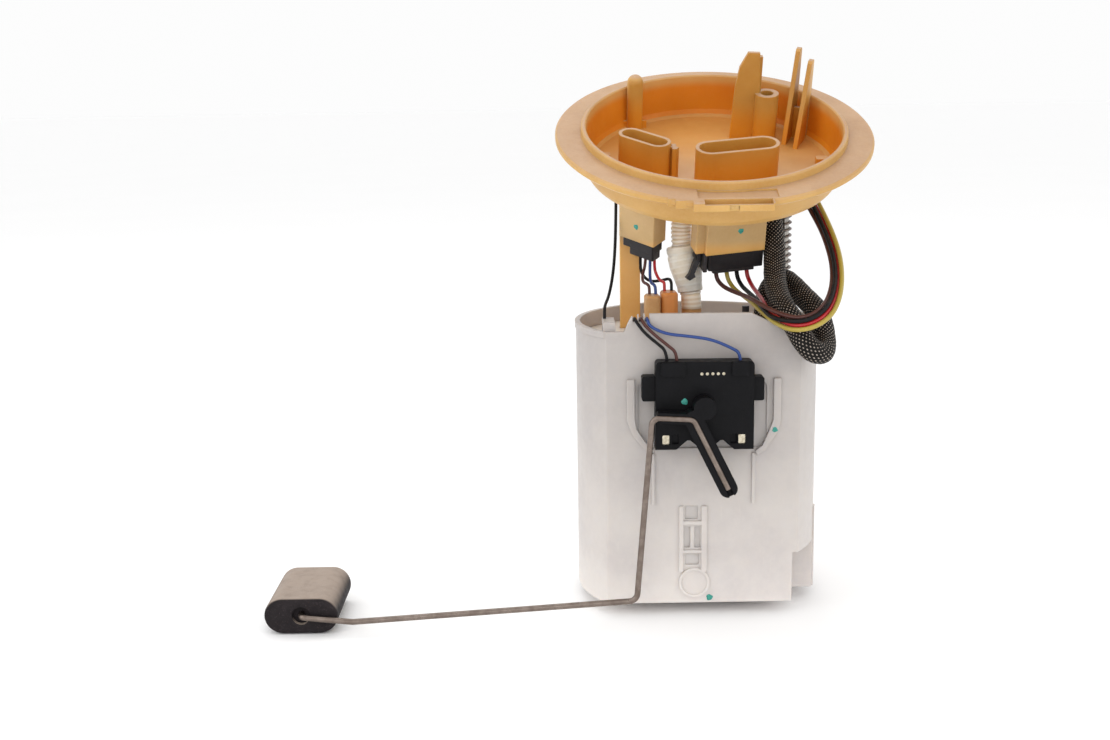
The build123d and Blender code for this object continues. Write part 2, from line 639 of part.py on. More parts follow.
flange_holed.label = "flange_cover"
export_step(flange_holed, "parts/flange_cover.step")

# black plugs under the flange
with BuildPart() as left_plug:
    with BuildSketch(FL.offset(-box_bottom - 0.1)):
        with Locations(Location((lc_x, lc_y, 0), (0, 0, 1), lc_a)):
            RectangleRounded(17.5, 7.1, 0.5)
    extrude(amount=21.0)
    with BuildSketch(FL.offset(-57.6)):
        with Locations(Location((lc_x, lc_y, 0), (0, 0, 1), lc_a)):
            with Locations((0.3, 0)):
                RectangleRounded(18.2, 8.2, 0.8)
    extrude(amount=57.6 - box_bottom - 0.1)
    with BuildSketch(FL.offset(-62.0)):
        with Locations(Location((lc_x, lc_y, 0), (0, 0, 1), lc_a)):
            with Locations((1.6, 0.3)):
                RectangleRounded(14.2, 6.6, 0.8)
    extrude(amount=4.5)
    with BuildSketch(FL.offset(-62.5)):
        with Locations(Location((lc_x, lc_y, 0), (0, 0, 1), lc_a)):
            with Locations((-1.0, 0.3), (2.4, 0.3), (5.0, 0.3), (7.4, 0.3)):
                Circle(thin_d / 2 + lead_gap)
    extrude(amount=7.0, mode=Mode.SUBTRACT)
save(left_plug, "left_connector")

with BuildPart() as right_plug:
    with BuildSketch(FL.offset(-box_bottom - 0.1)):
        with Locations(Location((rc_x, rc_y, 0), (0, 0, 1), rc_a)):
            RectangleRounded(26.1, 10.9, 0.5)
    extrude(amount=21.0)
    with BuildSketch(FL.offset(-61.6)):
        with Locations(Location((rc_x, rc_y, 0), (0, 0, 1), rc_a)):
            with Locations((0.8, 0)):
                RectangleRounded(27.4, 13.0, 0.9)
    extrude(amount=61.6 - box_bottom - 0.1)
    with BuildSketch(FL.offset(-62)):
        with Locations(Location((rc_x, rc_y, 0), (0, 0, 1), rc_a)):
            with Locations((-7.2, 0), (-1.8, 0), (3.4, 0), (8.4, 0)):
                Circle(lead_d / 2 + lead_gap)
    extrude(amount=4, mode=Mode.SUBTRACT)
save(right_plug, "right_connector")

with BuildPart() as comb:
    with BuildSketch(FL.offset(-64.5)):
        with Locations(Location((rc_x, rc_y, 0), (0, 0, 1), rc_a)):
            with Locations((0.6, 0)):
                RectangleRounded(21.0, 8.4, 0.8)
    extrude(amount=2.8)
    with BuildSketch(FL.offset(-65)):
        with Locations(Location((rc_x, rc_y, 0), (0, 0, 1), rc_a)):
            with Locations((-7.2, 0), (-1.8, 0), (3.4, 0), (8.4, 0)):
                Circle(lead_d / 2 + lead_gap)
    extrude(amount=4, mode=Mode.SUBTRACT)
save(comb, "terminal_comb")

with BuildPart() as lock_piece:
    with BuildSketch(FL.offset(-62.4)):
        with Locations(Location((rc_x, rc_y, 0), (0, 0, 1), rc_a)):
            with Locations((-14.2, -2.1)):
                RectangleRounded(2.0, 7.2, 0.6)
    extrude(amount=62.4 - box_bottom - 0.1)
save(lock_piece, "connector_lock")

# Latch lever that hangs straight down beside the right plug, on a small pin
latch_o = rcp(-17.2, -0.6, -55.0)
latch_u = (rcp(1, 0, 0) - rcp(0, 0, 0)).normalized()
latch_v = Vector(0, 0, 1).cross(latch_u).normalized()
LATCH = Plane(origin=latch_o, x_dir=latch_u, z_dir=-latch_v)
print("latch pin at", latch_o, "axis", latch_v)
with BuildPart() as latch:
    with BuildSketch(LATCH):
        Polygon((-0.9, 1.5), (0.9, 1.5), (1.5, -1.6), (-2.2, -9.0), (-1.8, -10.6), (-4.8, -12.0), (-6.4, -10.4), (-4.7, -8.7), (-1.4, -1.6), align=None)
        Circle(1.9)
    extrude(amount=1.5, both=True)
    with BuildSketch(LATCH):
        Circle(0.86)
    extrude(amount=10, both=True, mode=Mode.SUBTRACT)
save(latch, "connector_latch")
with BuildPart() as latch_pin:
    with BuildSketch(LATCH):
        Circle(0.8)
    extrude(amount=3.5, both=True)
    for s in (-1, 1):
        with BuildSketch(FL.offset(-56.2)):
            with Locations(Location((rc_x, rc_y, 0), (0, 0, 1), rc_a)):
                with Locations((-17.2, -0.6 + s * 3.1)):
                    Rectangle(1.2, 1.0)
        extrude(amount=56.2 - box_bottom - 0.02)
save(latch_pin, "latch_bracket")

# Guide rod with clip, spring
with BuildPart() as rod:
    with Locations((rod_x, rod_y, 80)):
        Cylinder(rod_r, 129, align=(Align.CENTER, Align.CENTER, Align.MIN))
    with Locations((rod_x, rod_y, 127.1)):
        Cylinder(rod_r + 1, 1.4, align=(Align.CENTER, Align.CENTER, Align.MIN), mode=Mode.SUBTRACT)
    with Locations((rod_x, rod_y, 127.1)):
        Cylinder(rod_r - 0.35, 1.4, align=(Align.CENTER, Align.CENTER, Align.MIN))
save(rod, "guide_rod")
with BuildPart() as rod_clip:
    with BuildSketch(Plane.XY.offset(127.25)):
        with Locations((rod_x, rod_y)):
            Circle(3.7)
            Circle(rod_r - 0.33, mode=Mode.SUBTRACT)
            with Locations((3, 0)):
                Rectangle(6, 2.4, mode=Mode.SUBTRACT)
    extrude(amount=1.1)
save(rod_clip, "rod_clip")

spring_z0, spring_z1 = holder_z + 2.4, 200.0
spring_wire, spring_r = 1.1, 2.85
with BuildPart() as spring:
    with BuildLine() as coil:
        Helix(pitch=3.35, height=spring_z1 - spring_z0 - spring_wire - 0.1, radius=spring_r,
              center=(rod_x, rod_y, spring_z0 + spring_wire / 2 + 0.05))
    with BuildSketch(Plane(origin=coil.line @ 0, z_dir=coil.line % 0)):
        Circle(spring_wire / 2)
    sweep(path=coil.line, is_frenet=True)
save(spring, "guide_spring")

# ---------------------------------------------------------------------------
# Level sender
# ---------------------------------------------------------------------------
sy0 = -37.15  # back of the sender, just clear of the panel
sy1 = -47.3  # front face of the housing
with BuildPart() as sender:
    with BuildSketch(front(sy0 - 1.7)):
        Polygon((-23.2, 85.1), (-13.6, 85.1), (-8.6, 89.4), (-7.2, 89.4), (-2.6, 85.6), (1.5, 84.9), (6.8, 89.4), (8.0, 89.4), (13.2, 84.9), (22.2, 84.9),
                (22.2, 107.6), (22.2, 126.2), (-23.0, 126.4), align=None)
    extrude(amount=-sy1 + sy0 - 1.7)
    fillet(sender.edges().filter_by(Axis.Y).sort_by(Axis.Z)[-2:], 1.8)
    # side wings
    with BuildSketch(front(sy0 - 1.7)):
        with Locations((-26.0, 113.5)):
            RectangleRounded(6.4, 11.6, 1.0)
        with Locations((24.4, 112.9)):
            RectangleRounded(5.4, 11.0, 1.0)
        with Locations((-23.6, 113.5), (22.4, 112.9)):
            Rectangle(2.0, 9.8)
    extrude(amount=-sy1 + sy0 - 1.7 - 2.0)
    # raised connector strip on top of the face
    with BuildSketch(front(sy1)):
        with Locations((-15.0, 122.9)):
            RectangleRounded(11.4, 6.4, 1.0)
        with Locations((15.8, 122.9)):
            RectangleRounded(8.0, 6.4, 1.0)
    extrude(amount=1.3)
    # recess of the card chamber at the back
    with BuildSketch(front(sy0 - 1.6)):
        with Locations((-1.2, 106.0)):
            RectangleRounded(35.0, 27.6, 2.0)
    extrude(amount=6.6, mode=Mode.SUBTRACT)
    # windows for the contacts, dark pockets beside them
    with BuildSketch(front(sy1 + 2.5)):
        with Locations((-18.3, 89.6), (16.8, 89.6)):
            RectangleRounded(3.4, 4.7, 0.6)
    extrude(amount=4, mode=Mode.SUBTRACT)
    with BuildSketch(front(sy1 + 1.6)):
        with Locations((-14.0, 90.0), (12.9, 90.0)):
            RectangleRounded(3.2, 4.6, 0.6)
    extrude(amount=4, mode=Mode.SUBTRACT)
    # bore of the arm shaft
    with BuildSketch(front(sy0)):
        with Locations((pivot_x, pivot_z)):
            Circle(3.05)
    extrude(amount=30, mode=Mode.SUBTRACT)
    # five pin holes in the top strip
    with BuildSketch(front(sy1 + 1.2)):
        with Locations([(-1.9 + 2.5 * i, 120.6) for i in range(5)]):
            Circle(0.72)
    extrude(amount=4, mode=Mode.SUBTRACT)
    # lead holes in the top
    with Locations((-17.4, -43.2, 122), (-12.8, -43.2, 122), (16.4, -43.2, 122)):
        Cylinder(thin_d / 2 + lead_gap, 10, align=(Align.CENTER, Align.CENTER, Align.MIN), mode=Mode.SUBTRACT)
save(sender, "sender_housing")

with BuildPart() as sender_back:
    with BuildSketch(front(sy0)):
        Polygon((-22.6, 86.0), (-14.2, 86.0), (-9.0, 90.4), (8.4, 90.4), (13.6, 86.0), (21.6, 86.0), (21.6, 125.6), (-22.4, 125.6), align=None)
    extrude(amount=1.66)
save(sender_back, "sender_back_cover")

with BuildPart() as card:
    with BuildSketch(front(sy0 - 1.7)):
        with Locations((-1.2, 106.0)):
            Rectangle(33.6, 26.2)
    extrude(amount=0.9)
save(card, "resistor_card")

with BuildPart() as pins5:
    with BuildSketch(front(sy1 + 1.18)):
        with Locations([(-1.9 + 2.5 * i, 120.6) for i in range(5)]):
            Circle(0.7)
    extrude(amount=1.0)
save(pins5, "sender_pins")

with BuildPart() as contacts:
    with BuildSketch(front(sy1 + 2.48)):
        with Locations((-18.3, 89.6), (16.8, 89.6)):
            RectangleRounded(3.2, 4.5, 0.6)
    extrude(amount=1.3)
save(contacts, "sender_contact_plates")

# Lever, with the shaft that turns in the housing, and the wiper inside
lev_y0, lev_y1 = sy1 - 1.8, -56.2
with BuildPart() as lever:
    with BuildSketch(front(lev_y0)):
        with Locations((pivot_x, pivot_z)):
            Circle(5.2)
        with Locations(Location((1.6, 84.8, 0), (0, 0, 1), 116.1)):
            SlotOverall(44.8, 8.5)
        with Locations(Location((-13.4, 101.7, 0), (0, 0, 1), -4.0)):
            SlotOverall(20.0, 4.8)
    extrude(amount=lev_y0 - lev_y1)
    # shaft
    with BuildSketch(front(-41.2)):
        with Locations((pivot_x, pivot_z)):
            Circle(2.99)
    extrude(amount=-lev_y0 - 41.2 + 1)
    # open channel that the arm wire snaps into
    with BuildLine() as chan:
        FilletPolyline((11.53, wire_y, 64.24), (-6.5, wire_y, 101.2), (-25.2, wire_y, 102.3), (-26.215, wire_y, 90.313), radius=[3.5, 3.5])
    with BuildSketch(Plane(origin=chan.line @ 0, z_dir=chan.line % 0)):
        Circle(wire_r + 0.04)
    sweep(path=chan.line, mode=Mode.SUBTRACT)
save(lever, "sender_lever")

with BuildPart() as wiper:
    with BuildSketch(front(-40.5)):
        with Locations((pivot_x, pivot_z)):
            Circle(3.4)
        with Locations((pivot_x, pivot_z + 5.6)):
            Rectangle(3.0, 9.0)
    extrude(amount=0.69)
save(wiper, "sender_wiper")

# Float arm wire
with BuildPart() as arm_wire:
    with BuildLine() as armline:
        FilletPolyline((9.6, wire_y, 68.2), (-6.5, wire_y, 101.2), (-25.2, wire_y, 102.3), (-32.6, wire_y, 14.9),
                       (-165.5, wire_y, 6.7), (float_x, wire_y, float_z), (float_x, wire_y + 41.0, float_z), radius=[3.5, 3.5, 4.0, 9.0, 2.6])
    with BuildSketch(Plane(origin=armline.line @ 0, z_dir=armline.line % 0)):
        Circle(wire_r)
    sweep(path=armline.line)
save(arm_wire, "float_arm_wire")

float_front = wire_y + wire_r + 0.5
with BuildPart() as float_body:
    with BuildSketch(Plane(origin=(float_x, float_front, float_z), x_dir=(1, 0, 0), z_dir=(0, 1, 0))):
        SlotOverall(float_w, float_h)
    extrude(amount=float_l)
    fillet(float_body.faces().filter_by(Axis.Y).edges(), 0.9)
    with BuildSketch(Plane(origin=(float_x, float_front, float_z), x_dir=(1, 0, 0), z_dir=(0, 1, 0))):
        Circle(wire_r + 0.07)
    extrude(amount=41.5, mode=Mode.SUBTRACT)
    with BuildSketch(Plane(origin=(float_x, float_front, float_z), x_dir=(1, 0, 0), z_dir=(0, 1, 0))):
        Circle(wire_r + 2.9)
    extrude(amount=2.4, mode=Mode.SUBTRACT)
save(float_body, "float")

# Grommet where the sender leads come up through the holder
with BuildPart() as grommet:
    with BuildSketch(Plane.XY.offset(holder_z + 2.4)):
        with Locations((-29.2, -27.0)):
            RectangleRounded(10.2, 4.4, 1.6)
    extrude(amount=3.2)
    with Locations((-32.0, -27.0, 120), (-29.2, -27.0, 120), (-26.4, -27.0, 120)):
        Cylinder(thin_d / 2 + lead_gap, 40, align=(Align.CENTER, Align.CENTER, Align.MIN), mode=Mode.SUBTRACT)
save(grommet, "lead_grommet")

# ---------------------------------------------------------------------------
# Hoses and leads
# ---------------------------------------------------------------------------
cord("feed_hose", [(-5.6, 8.5, 205.9), (-5.6, 8.5, 193), (-6.4, 10.6, 174.5), (-1.4, 6, 151.6), (-1.4, 6, 143.1)], feed_d)

# clear coupling sleeve over the lower half of the feed hose
cs = Vector(-6.4, 10.6, 174.5)
ce = Vector(-1.4, 6, 151.6)
cdir = (ce - cs).normalized()
c_up = Plane(origin=cs + cdir * 1.5, z_dir=cdir)
with BuildPart() as coupling:
    with BuildSketch(c_up):
        Circle(8.0)
    extrude(amount=9.5)
    with BuildSketch(c_up.offset(9.5)):
        Circle(8.0)
    with BuildSketch(c_up.offset(19.5)):
        Circle(6.5)
    loft()
    with BuildSketch(c_up.offset(-3)):
        Circle(5.8)
    extrude(amount=30, mode=Mode.SUBTRACT)
    with BuildSketch(c_up.offset(-3)):
        Circle(6.7)
    extrude(amount=13, mode=Mode.SUBTRACT)
save(coupling, "hose_coupling")

cord("return_hose", [(36.2, 13, 205.9), (36.2, 13, 198), (37.7, 8.6, 187), (38.3, 3.6, 176), (37.9, -2.4, 166.5), (36.3, -13, 158.2),
                     (36.2, -24, 152.7), (37.2, -34, 148.7), (39.7, -42, 144.3), (43.9, -49.3, 135.2), (48.6, -50, 130.3), (53.8, -46, 129.2),
                     (55.6, -39.6, 133), (55.1, -33.4, 141.4), (53.7, -26, 146.8), (50.1, -16, 150.4), (46.6, -6, 154.7), (43.4, 3, 157.4),
                     (39.6, 9, 155), (35.5, 12, 146.5), (35.5, 12, 134.05)], hose_d)

for name, pts in {
    "lead_olive": [(15.5, 4.4, 165.9), (15.5, 7.2, 159.2), (18.4, 3.8, 153.2), (22.6, -5.5, 150.2), (25.1, -14.7, 148.6), (27.8, -31.7, 146.0),
                   (31.5, -47.8, 143.4), (36.9, -59.2, 142.1), (45.4, -64.0, 143.9), (53.7, -60.8, 148.4), (59.3, -51.4, 154.4), (63.0, -39.1, 161.6),
                   (64.9, -25.8, 169.7), (64.8, -12.5, 177.7), (63.4, -1.0, 185.1), (61.6, 9.3, 191.8), (59.4, 17.9, 198.1), (57.8, 25.9, 205.2),
                   (57.8, 22.6, 213.2)],
    "lead_red": [(25.6, 6.2, 166.6), (25.6, 9, 160), (27.8, 5.4, 154.2), (29.6, -4.5, 151.2), (30.1, -14.9, 149.9), (30.1, -31.9, 147.6),
                 (32.6, -47.6, 145.4), (38.1, -58.1, 143.9), (44.9, -62.4, 145.6), (51.9, -59.3, 149.1), (57.5, -50.1, 153.6), (61.7, -37.8, 160),
                 (64, -24.6, 167.8), (64.1, -11.3, 175.7), (62.9, 0.2, 183.1), (60, 10.9, 190.6), (56.8, 17.7, 198), (55.2, 25.9, 205.2),
                 (55.2, 22.6, 213.2)],
    "lead_black": [(20.6, 5.3, 166.2), (20.6, 8.1, 159.6), (22.6, 4.6, 154.2), (25.2, -4.5, 151.8), (26.6, -15, 150.8), (27.2, -32, 148.6),
                   (29.4, -48.6, 146.2), (37.1, -58.9, 146), (44.1, -63.5, 147.6), (51, -60.1, 151.2), (56.1, -50.7, 155.5), (60.1, -38.5, 161.6),
                   (62, -25.3, 169.1), (62, -12, 176.7), (60.7, -0.6, 183.8), (58.2, 8.9, 191.8), (55.2, 16.6, 199.9), (52.4, 25.9, 205.2),
                   (52.4, 22.6, 213.2)],
    "lead_brown": [(10.2, 3.5, 165.5), (10.2, 6.3, 158.8), (13, 3.2, 154.2), (18, -4.5, 152.2), (22.7, -15.3, 151.5), (25.9, -32.3, 150.8),
                   (31, -48.3, 148.8), (38.7, -57.5, 147.3), (43.8, -61.4, 148.8), (49.3, -58.3, 151.2), (54.4, -49.3, 154.4), (58.8, -37.2, 160),
                   (61.1, -24.1, 167.2), (61.3, -10.8, 174.7), (60.2, 0.7, 181.8), (56.6, 10.6, 190.6), (52.9, 16.9, 198.9), (49.8, 25.9, 205.2),
                   (49.8, 22.6, 213.2)],
}.items():
    cord(name, pts, lead_d)

for name, pts in {
    "side_lead": [(-37.7, 11.2, 210.6), (-37.7, 14.2, 203.6), (-38.0, 11.0, 190.0), (-38.6, 7.5, 174.0), (-40.0, 1.0, 161.0), (-42.6, -9.0, 151.6),
                  (-45.0, -18.6, 148.6), (-45.3, -22.8, 146.2), (-45.3, -22.8, 137.4)],
    "pump_lead_brown": [(-23.2, 11.0, 174.1), (-23.2, 15.3, 163.9), (-25.0, 12.4, 159.2), (-25.4, 6.0, 156.2), (-22.8, 1.8, 155.6), (-22.3, 0.8, 153.2),
                        (-22.3, 0.8, 144.6)],
    "pump_lead_blue": [(-21.2, 9.5, 173.4), (-21.2, 13.8, 163.3), (-21.4, 11.0, 158.6), (-21.4, 5.2, 155.8), (-19.8, 1.8, 155.4), (-19.3, 0.8, 153.0),
                       (-19.3, 0.8, 144.6)],
    "pump_lead_red": [(-19.3, 8.1, 172.8), (-19.3, 12.3, 162.7), (-18.0, 11.4, 158.6), (-16.6, 7.6, 156.6), (-15.0, 4.4, 156.4), (-14.8, 3.6, 154.4),
                      (-14.8, 3.6, 144.6)],
    "pump_lead_black": [(-25.8, 13.0, 174.9), (-25.8, 17.3, 164.7), (-25.4, 16.6, 159.2), (-21.6, 15.0, 155.2), (-15.6, 12.2, 156.0), (-12.2, 8.2, 157.6),
                        (-11.4, 4.6, 156.4), (-11.4, 3.6, 153.8), (-11.4, 3.6, 144.6)],
    "sender_lead_black": [(-32.0, -27.0, 131.4), (-32.0, -27.0, 138.2), (-32.0, -30.8, 144.2), (-31.8, -36.0, 145.0), (-30.8, -40.2, 143.0),
                          (-27.2, -41.8, 138.6), (-22.0, -42.6, 134.4), (-17.4, -43.2, 130.4), (-17.4, -43.2, 122.6)],
    "sender_lead_brown": [(-29.2, -27.0, 131.4), (-29.2, -27.0, 138.2), (-29.0, -30.8, 144.2), (-29.0, -36.0, 145.0), (-27.6, -40.0, 142.4),
                          (-22.8, -41.4, 137.8), (-17.0, -42.4, 133.2), (-12.8, -43.2, 129.8), (-12.8, -43.2, 122.6)],
    "sender_lead_blue": [(-26.4, -27.0, 131.4), (-26.4, -27.0, 138.2), (-26.2, -30.8, 144.2), (-26.2, -36.8, 145.2), (-25.4, -40.0, 141.8),
                         (-17.6, -40.4, 138.2), (-7.0, -41.2, 137.2), (3.4, -42.0, 135.6), (12.0, -42.8, 131.8), (16.4, -43.2, 129.2), (16.4, -43.2, 122.6)],
}.items():
    cord(name, pts, thin_d)
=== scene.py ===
import bpy
import bmesh
import math
from mathutils import Vector, Matrix


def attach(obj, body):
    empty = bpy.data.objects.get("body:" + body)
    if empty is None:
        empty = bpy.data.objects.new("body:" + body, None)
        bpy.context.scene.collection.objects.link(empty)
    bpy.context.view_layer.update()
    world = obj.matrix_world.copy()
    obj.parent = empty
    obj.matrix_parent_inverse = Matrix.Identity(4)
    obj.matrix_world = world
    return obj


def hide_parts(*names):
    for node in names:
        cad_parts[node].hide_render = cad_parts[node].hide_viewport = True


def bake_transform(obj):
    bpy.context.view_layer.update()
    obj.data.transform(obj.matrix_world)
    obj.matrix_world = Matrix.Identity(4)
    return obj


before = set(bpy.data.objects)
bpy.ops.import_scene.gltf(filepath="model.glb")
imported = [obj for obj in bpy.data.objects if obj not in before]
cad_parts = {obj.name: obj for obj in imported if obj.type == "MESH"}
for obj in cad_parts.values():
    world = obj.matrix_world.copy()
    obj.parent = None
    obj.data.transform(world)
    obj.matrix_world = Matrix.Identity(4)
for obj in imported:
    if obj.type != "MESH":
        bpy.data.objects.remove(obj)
bpy.context.view_layer.update()
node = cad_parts
scene = bpy.context.scene
scene.view_settings.view_transform = "Standard"


# ---------------------------------------------------------------- small tools
def mm(*v):
    return Vector(v) * 0.001


def srgb(r, g, b):
    out = []
    for c in (r, g, b):
        c = c / 255
        out.append(c / 12.92 if c <= 0.04045 else ((c + 0.055) / 1.055) ** 2.4)
    return (*out, 1.0)


def link_mesh(name, me):
    o = bpy.data.objects.new(name, me)
    scene.collection.objects.link(o)
    return o


# The flange leans back by 22.7 degrees. a is to the right, b up its slope, c along its axis.
TILT = math.radians(22.7)
FLANGE = mm(7.8, -2.5, 229.1)
AX_B = Vector((0, math.cos(TILT), math.sin(TILT)))
AX_C = Vector((0, -math.sin(TILT), math.cos(TILT)))


def on_flange(a, b, c):
    return FLANGE + Vector((a, 0, 0)) * 0.001 + AX_B * b * 0.001 + AX_C * c * 0.001


# ---------------------------------------------------------------- materials
class Nodes:
    """A short way to write a node tree."""

    def __init__(self, name):
        self.mat = bpy.data.materials.new(name)
        self.mat.use_nodes = True
        self.t = self.mat.node_tree
        self.t.nodes.clear()
        self.out = self.t.nodes.new("ShaderNodeOutputMaterial")
        self.bsdf = self.t.nodes.new("ShaderNodeBsdfPrincipled")
        self.t.links.new(self.bsdf.outputs[0], self.out.inputs[0])
        self.tc = self.t.nodes.new("ShaderNodeTexCoord")

    def put(self, socket, value):
        if isinstance(value, bpy.types.NodeSocket):
            self.t.links.new(value, socket)
        else:
            socket.default_value = value

    def node(self, kind, **props):
        n = self.t.nodes.new(kind)
        for k, v in props.items():
            setattr(n, k, v)
        return n

    def math(self, op, a, b=0.0, c=0.0, clamp=False):
        n = self.node("ShaderNodeMath", operation=op, use_clamp=clamp)
        for s, v in zip(n.inputs, (a, b, c)):
            self.put(s, v)
        return n.outputs[0]

    def ramp(self, x, lo, hi, a=0.0, b=1.0, smooth=True):
        n = self.node("ShaderNodeMapRange", interpolation_type="SMOOTHSTEP" if smooth else "LINEAR")
        for s, v in zip(n.inputs, (x, lo, hi, a, b)):
            self.put(s, v)
        return n.outputs[0]

    def mix(self, f, a, b, blend="MIX"):
        n = self.node("ShaderNodeMix", data_type="RGBA", blend_type=blend)
        self.put(n.inputs[0], f)
        self.put(n.inputs[6], a)
        self.put(n.inputs[7], b)
        return n.outputs[2]

    def noise(self, scale, detail=4.0, rough=0.55, vector=None, distortion=0.0):
        n = self.node("ShaderNodeTexNoise")
        self.put(n.inputs["Vector"], vector if vector is not None else self.tc.outputs["Object"])
        n.inputs["Scale"].default_value = scale
        n.inputs["Detail"].default_value = detail
        n.inputs["Roughness"].default_value = rough
        n.inputs["Distortion"].default_value = distortion
        return n.outputs["Fac"]

    def cells(self, scale, vector=None, feature="F1"):
        n = self.node("ShaderNodeTexVoronoi", feature=feature)
        self.put(n.inputs["Vector"], vector if vector is not None else self.tc.outputs["Object"])
        n.inputs["Scale"].default_value = scale
        return n.outputs["Distance"]

    def xyz(self, vector=None):
        n = self.node("ShaderNodeSeparateXYZ")
        self.put(n.inputs[0], vector if vector is not None else self.tc.outputs["Object"])
        return n.outputs

    def stretched(self, sx, sy, sz):
        n = self.node("ShaderNodeMapping")
        self.put(n.inputs[0], self.tc.outputs["Object"])
        n.inputs["Scale"].default_value = (sx, sy, sz)
        return n.outputs[0]

    def bump(self, height, distance, strength=1.0, round_edge=0.0):
        n = self.node("ShaderNodeBump")
        self.put(n.inputs["Height"], height)
        n.inputs["Distance"].default_value = distance
        n.inputs["Strength"].default_value = strength
        if round_edge:
            b = self.node("ShaderNodeBevel", samples=4)
            b.inputs["Radius"].default_value = round_edge
            self.t.links.new(b.outputs[0], n.inputs["Normal"])
        self.t.links.new(n.outputs[0], self.bsdf.inputs["Normal"])
        return n.outputs[0]

    def set(self, **k):
        for key, v in k.items():
            self.put(self.bsdf.inputs[key.replace("_", " ")], v)
        return self


def moulded(name, base, other, rough=0.42, spread=0.10, grain=0.00002, grain_scale=1800.0, patch=55.0, edge=0.00035, sss=0.0,
            sss_colour=(0.004, 0.003, 0.002), specular=0.5, scuffs=0.0, pale=None, coat=0.0, painted_height_shade=None):
    """Moulded plastic: slow colour drift from the melt, finer mottling, fine spark-eroded grain, scuffed roughness, and
    when asked, painted shade and light by height.
    """
    n = Nodes(name)
    slow = n.ramp(n.noise(patch, 3.0), 0.35, 0.68)
    colour = n.mix(slow, base, other)
    fine = n.ramp(n.noise(patch * 14, 5.0, 0.65), 0.3, 0.75)
    colour = n.mix(n.math("MULTIPLY", fine, 0.22), colour, pale or other)
    # fine scratches and handling marks, longer along the part than across it
    marks = n.noise(420.0, 6.0, 0.7, n.stretched(1.0, 1.0, 0.18), 0.6)
    marks = n.ramp(marks, 0.60, 0.72)
    if scuffs:
        colour = n.mix(n.math("MULTIPLY", marks, scuffs), colour, pale or other)
    r = n.ramp(n.noise(210.0, 4.0), 0.3, 0.7, rough - spread / 2, rough + spread / 2)
    r = n.math("ADD", r, n.math("MULTIPLY", marks, 0.08))
    if painted_height_shade:
        # painted shade and light: the plastic is painted darker higher up, for the shade behind the milky wall there,
        # and lighter near the bottom, for light bounced up from the floor
        z = n.xyz()[2]
        level = None
        for (z0, f0), (z1, f1) in zip(painted_height_shade, painted_height_shade[1:]):
            part = n.ramp(z, z0, z1, f0 if level is None else 0.0, f1 if level is None else f1 - f0, False)
            level = part if level is None else n.math("ADD", level, part)
        colour = n.mix(1.0, colour, level, "MULTIPLY")
    n.set(Base_Color=colour, Roughness=r)
    n.bsdf.inputs["Specular IOR Level"].default_value = specular
    if sss:
        n.bsdf.inputs["Subsurface Weight"].default_value = sss
        n.bsdf.inputs["Subsurface Radius"].default_value = (1.0, 0.8, 0.6)
        n.bsdf.inputs["Subsurface Scale"].default_value = sss_colour[0]
    if coat:
        n.bsdf.inputs["Coat Weight"].default_value = coat
        n.bsdf.inputs["Coat Roughness"].default_value = 0.2
    n.bump(n.math("ADD", n.noise(grain_scale, 3.0), n.math("MULTIPLY", n.noise(90.0, 2.0), 1.6)), grain, 1.0, edge)
    return n.mat


def metal(name, base, other, rough=0.3, spread=0.12, stretch=(1, 1, 1), lines=900.0, depth=0.000008, spots=None, edge=0.0):
    """Drawn, rolled or cast metal: streaks along the work, dull patches and a few darker spots."""
    n = Nodes(name)
    streak = n.noise(lines, 3.0, 0.6, n.stretched(*stretch))
    colour = n.mix(n.ramp(streak, 0.3, 0.7), base, other)
    dull = n.ramp(n.noise(75.0, 4.0), 0.4, 0.7)
    if spots:
        colour = n.mix(n.math("MULTIPLY", n.ramp(n.noise(330.0, 5.0, 0.7), 0.60, 0.70), 0.6), colour, spots)
    r = n.math("ADD", n.ramp(streak, 0.3, 0.7, rough - spread / 2, rough + spread / 2), n.math("MULTIPLY", dull, 0.12))
    n.set(Base_Color=colour, Roughness=r)
    n.bsdf.inputs["Metallic"].default_value = 1.0
    n.bump(streak, depth, 1.0, edge)
    return n.mat


def insulation(name, base, other, rough=0.34, specular=0.5, coat=0.15):
    """Wire insulation: extruded plastic with faint lines along it, a slight mottling and a soft shine."""
    n = Nodes(name)
    uv = n.node("ShaderNodeUVMap")
    along = n.node("ShaderNodeMapping")
    n.t.links.new(uv.outputs[0], along.inputs[0])
    along.inputs["Scale"].default_value = (9.0, 60.0, 1.0)
    lines = n.noise(1.0, 3.0, 0.6, along.outputs[0])
    colour = n.mix(n.ramp(lines, 0.35, 0.7), base, other)
    colour = n.mix(n.math("MULTIPLY", n.ramp(n.noise(900.0, 4.0), 0.5, 0.75), 0.25), colour, other)
    n.set(Base_Color=colour, Roughness=n.ramp(n.noise(500.0, 3.0), 0.3, 0.7, rough - 0.06, rough + 0.08))
    n.bsdf.inputs["Specular IOR Level"].default_value = specular
    n.bsdf.inputs["Coat Weight"].default_value = coat
    n.bsdf.inputs["Coat Roughness"].default_value = 0.25
    n.bump(lines, 0.00003)
    return n.mat


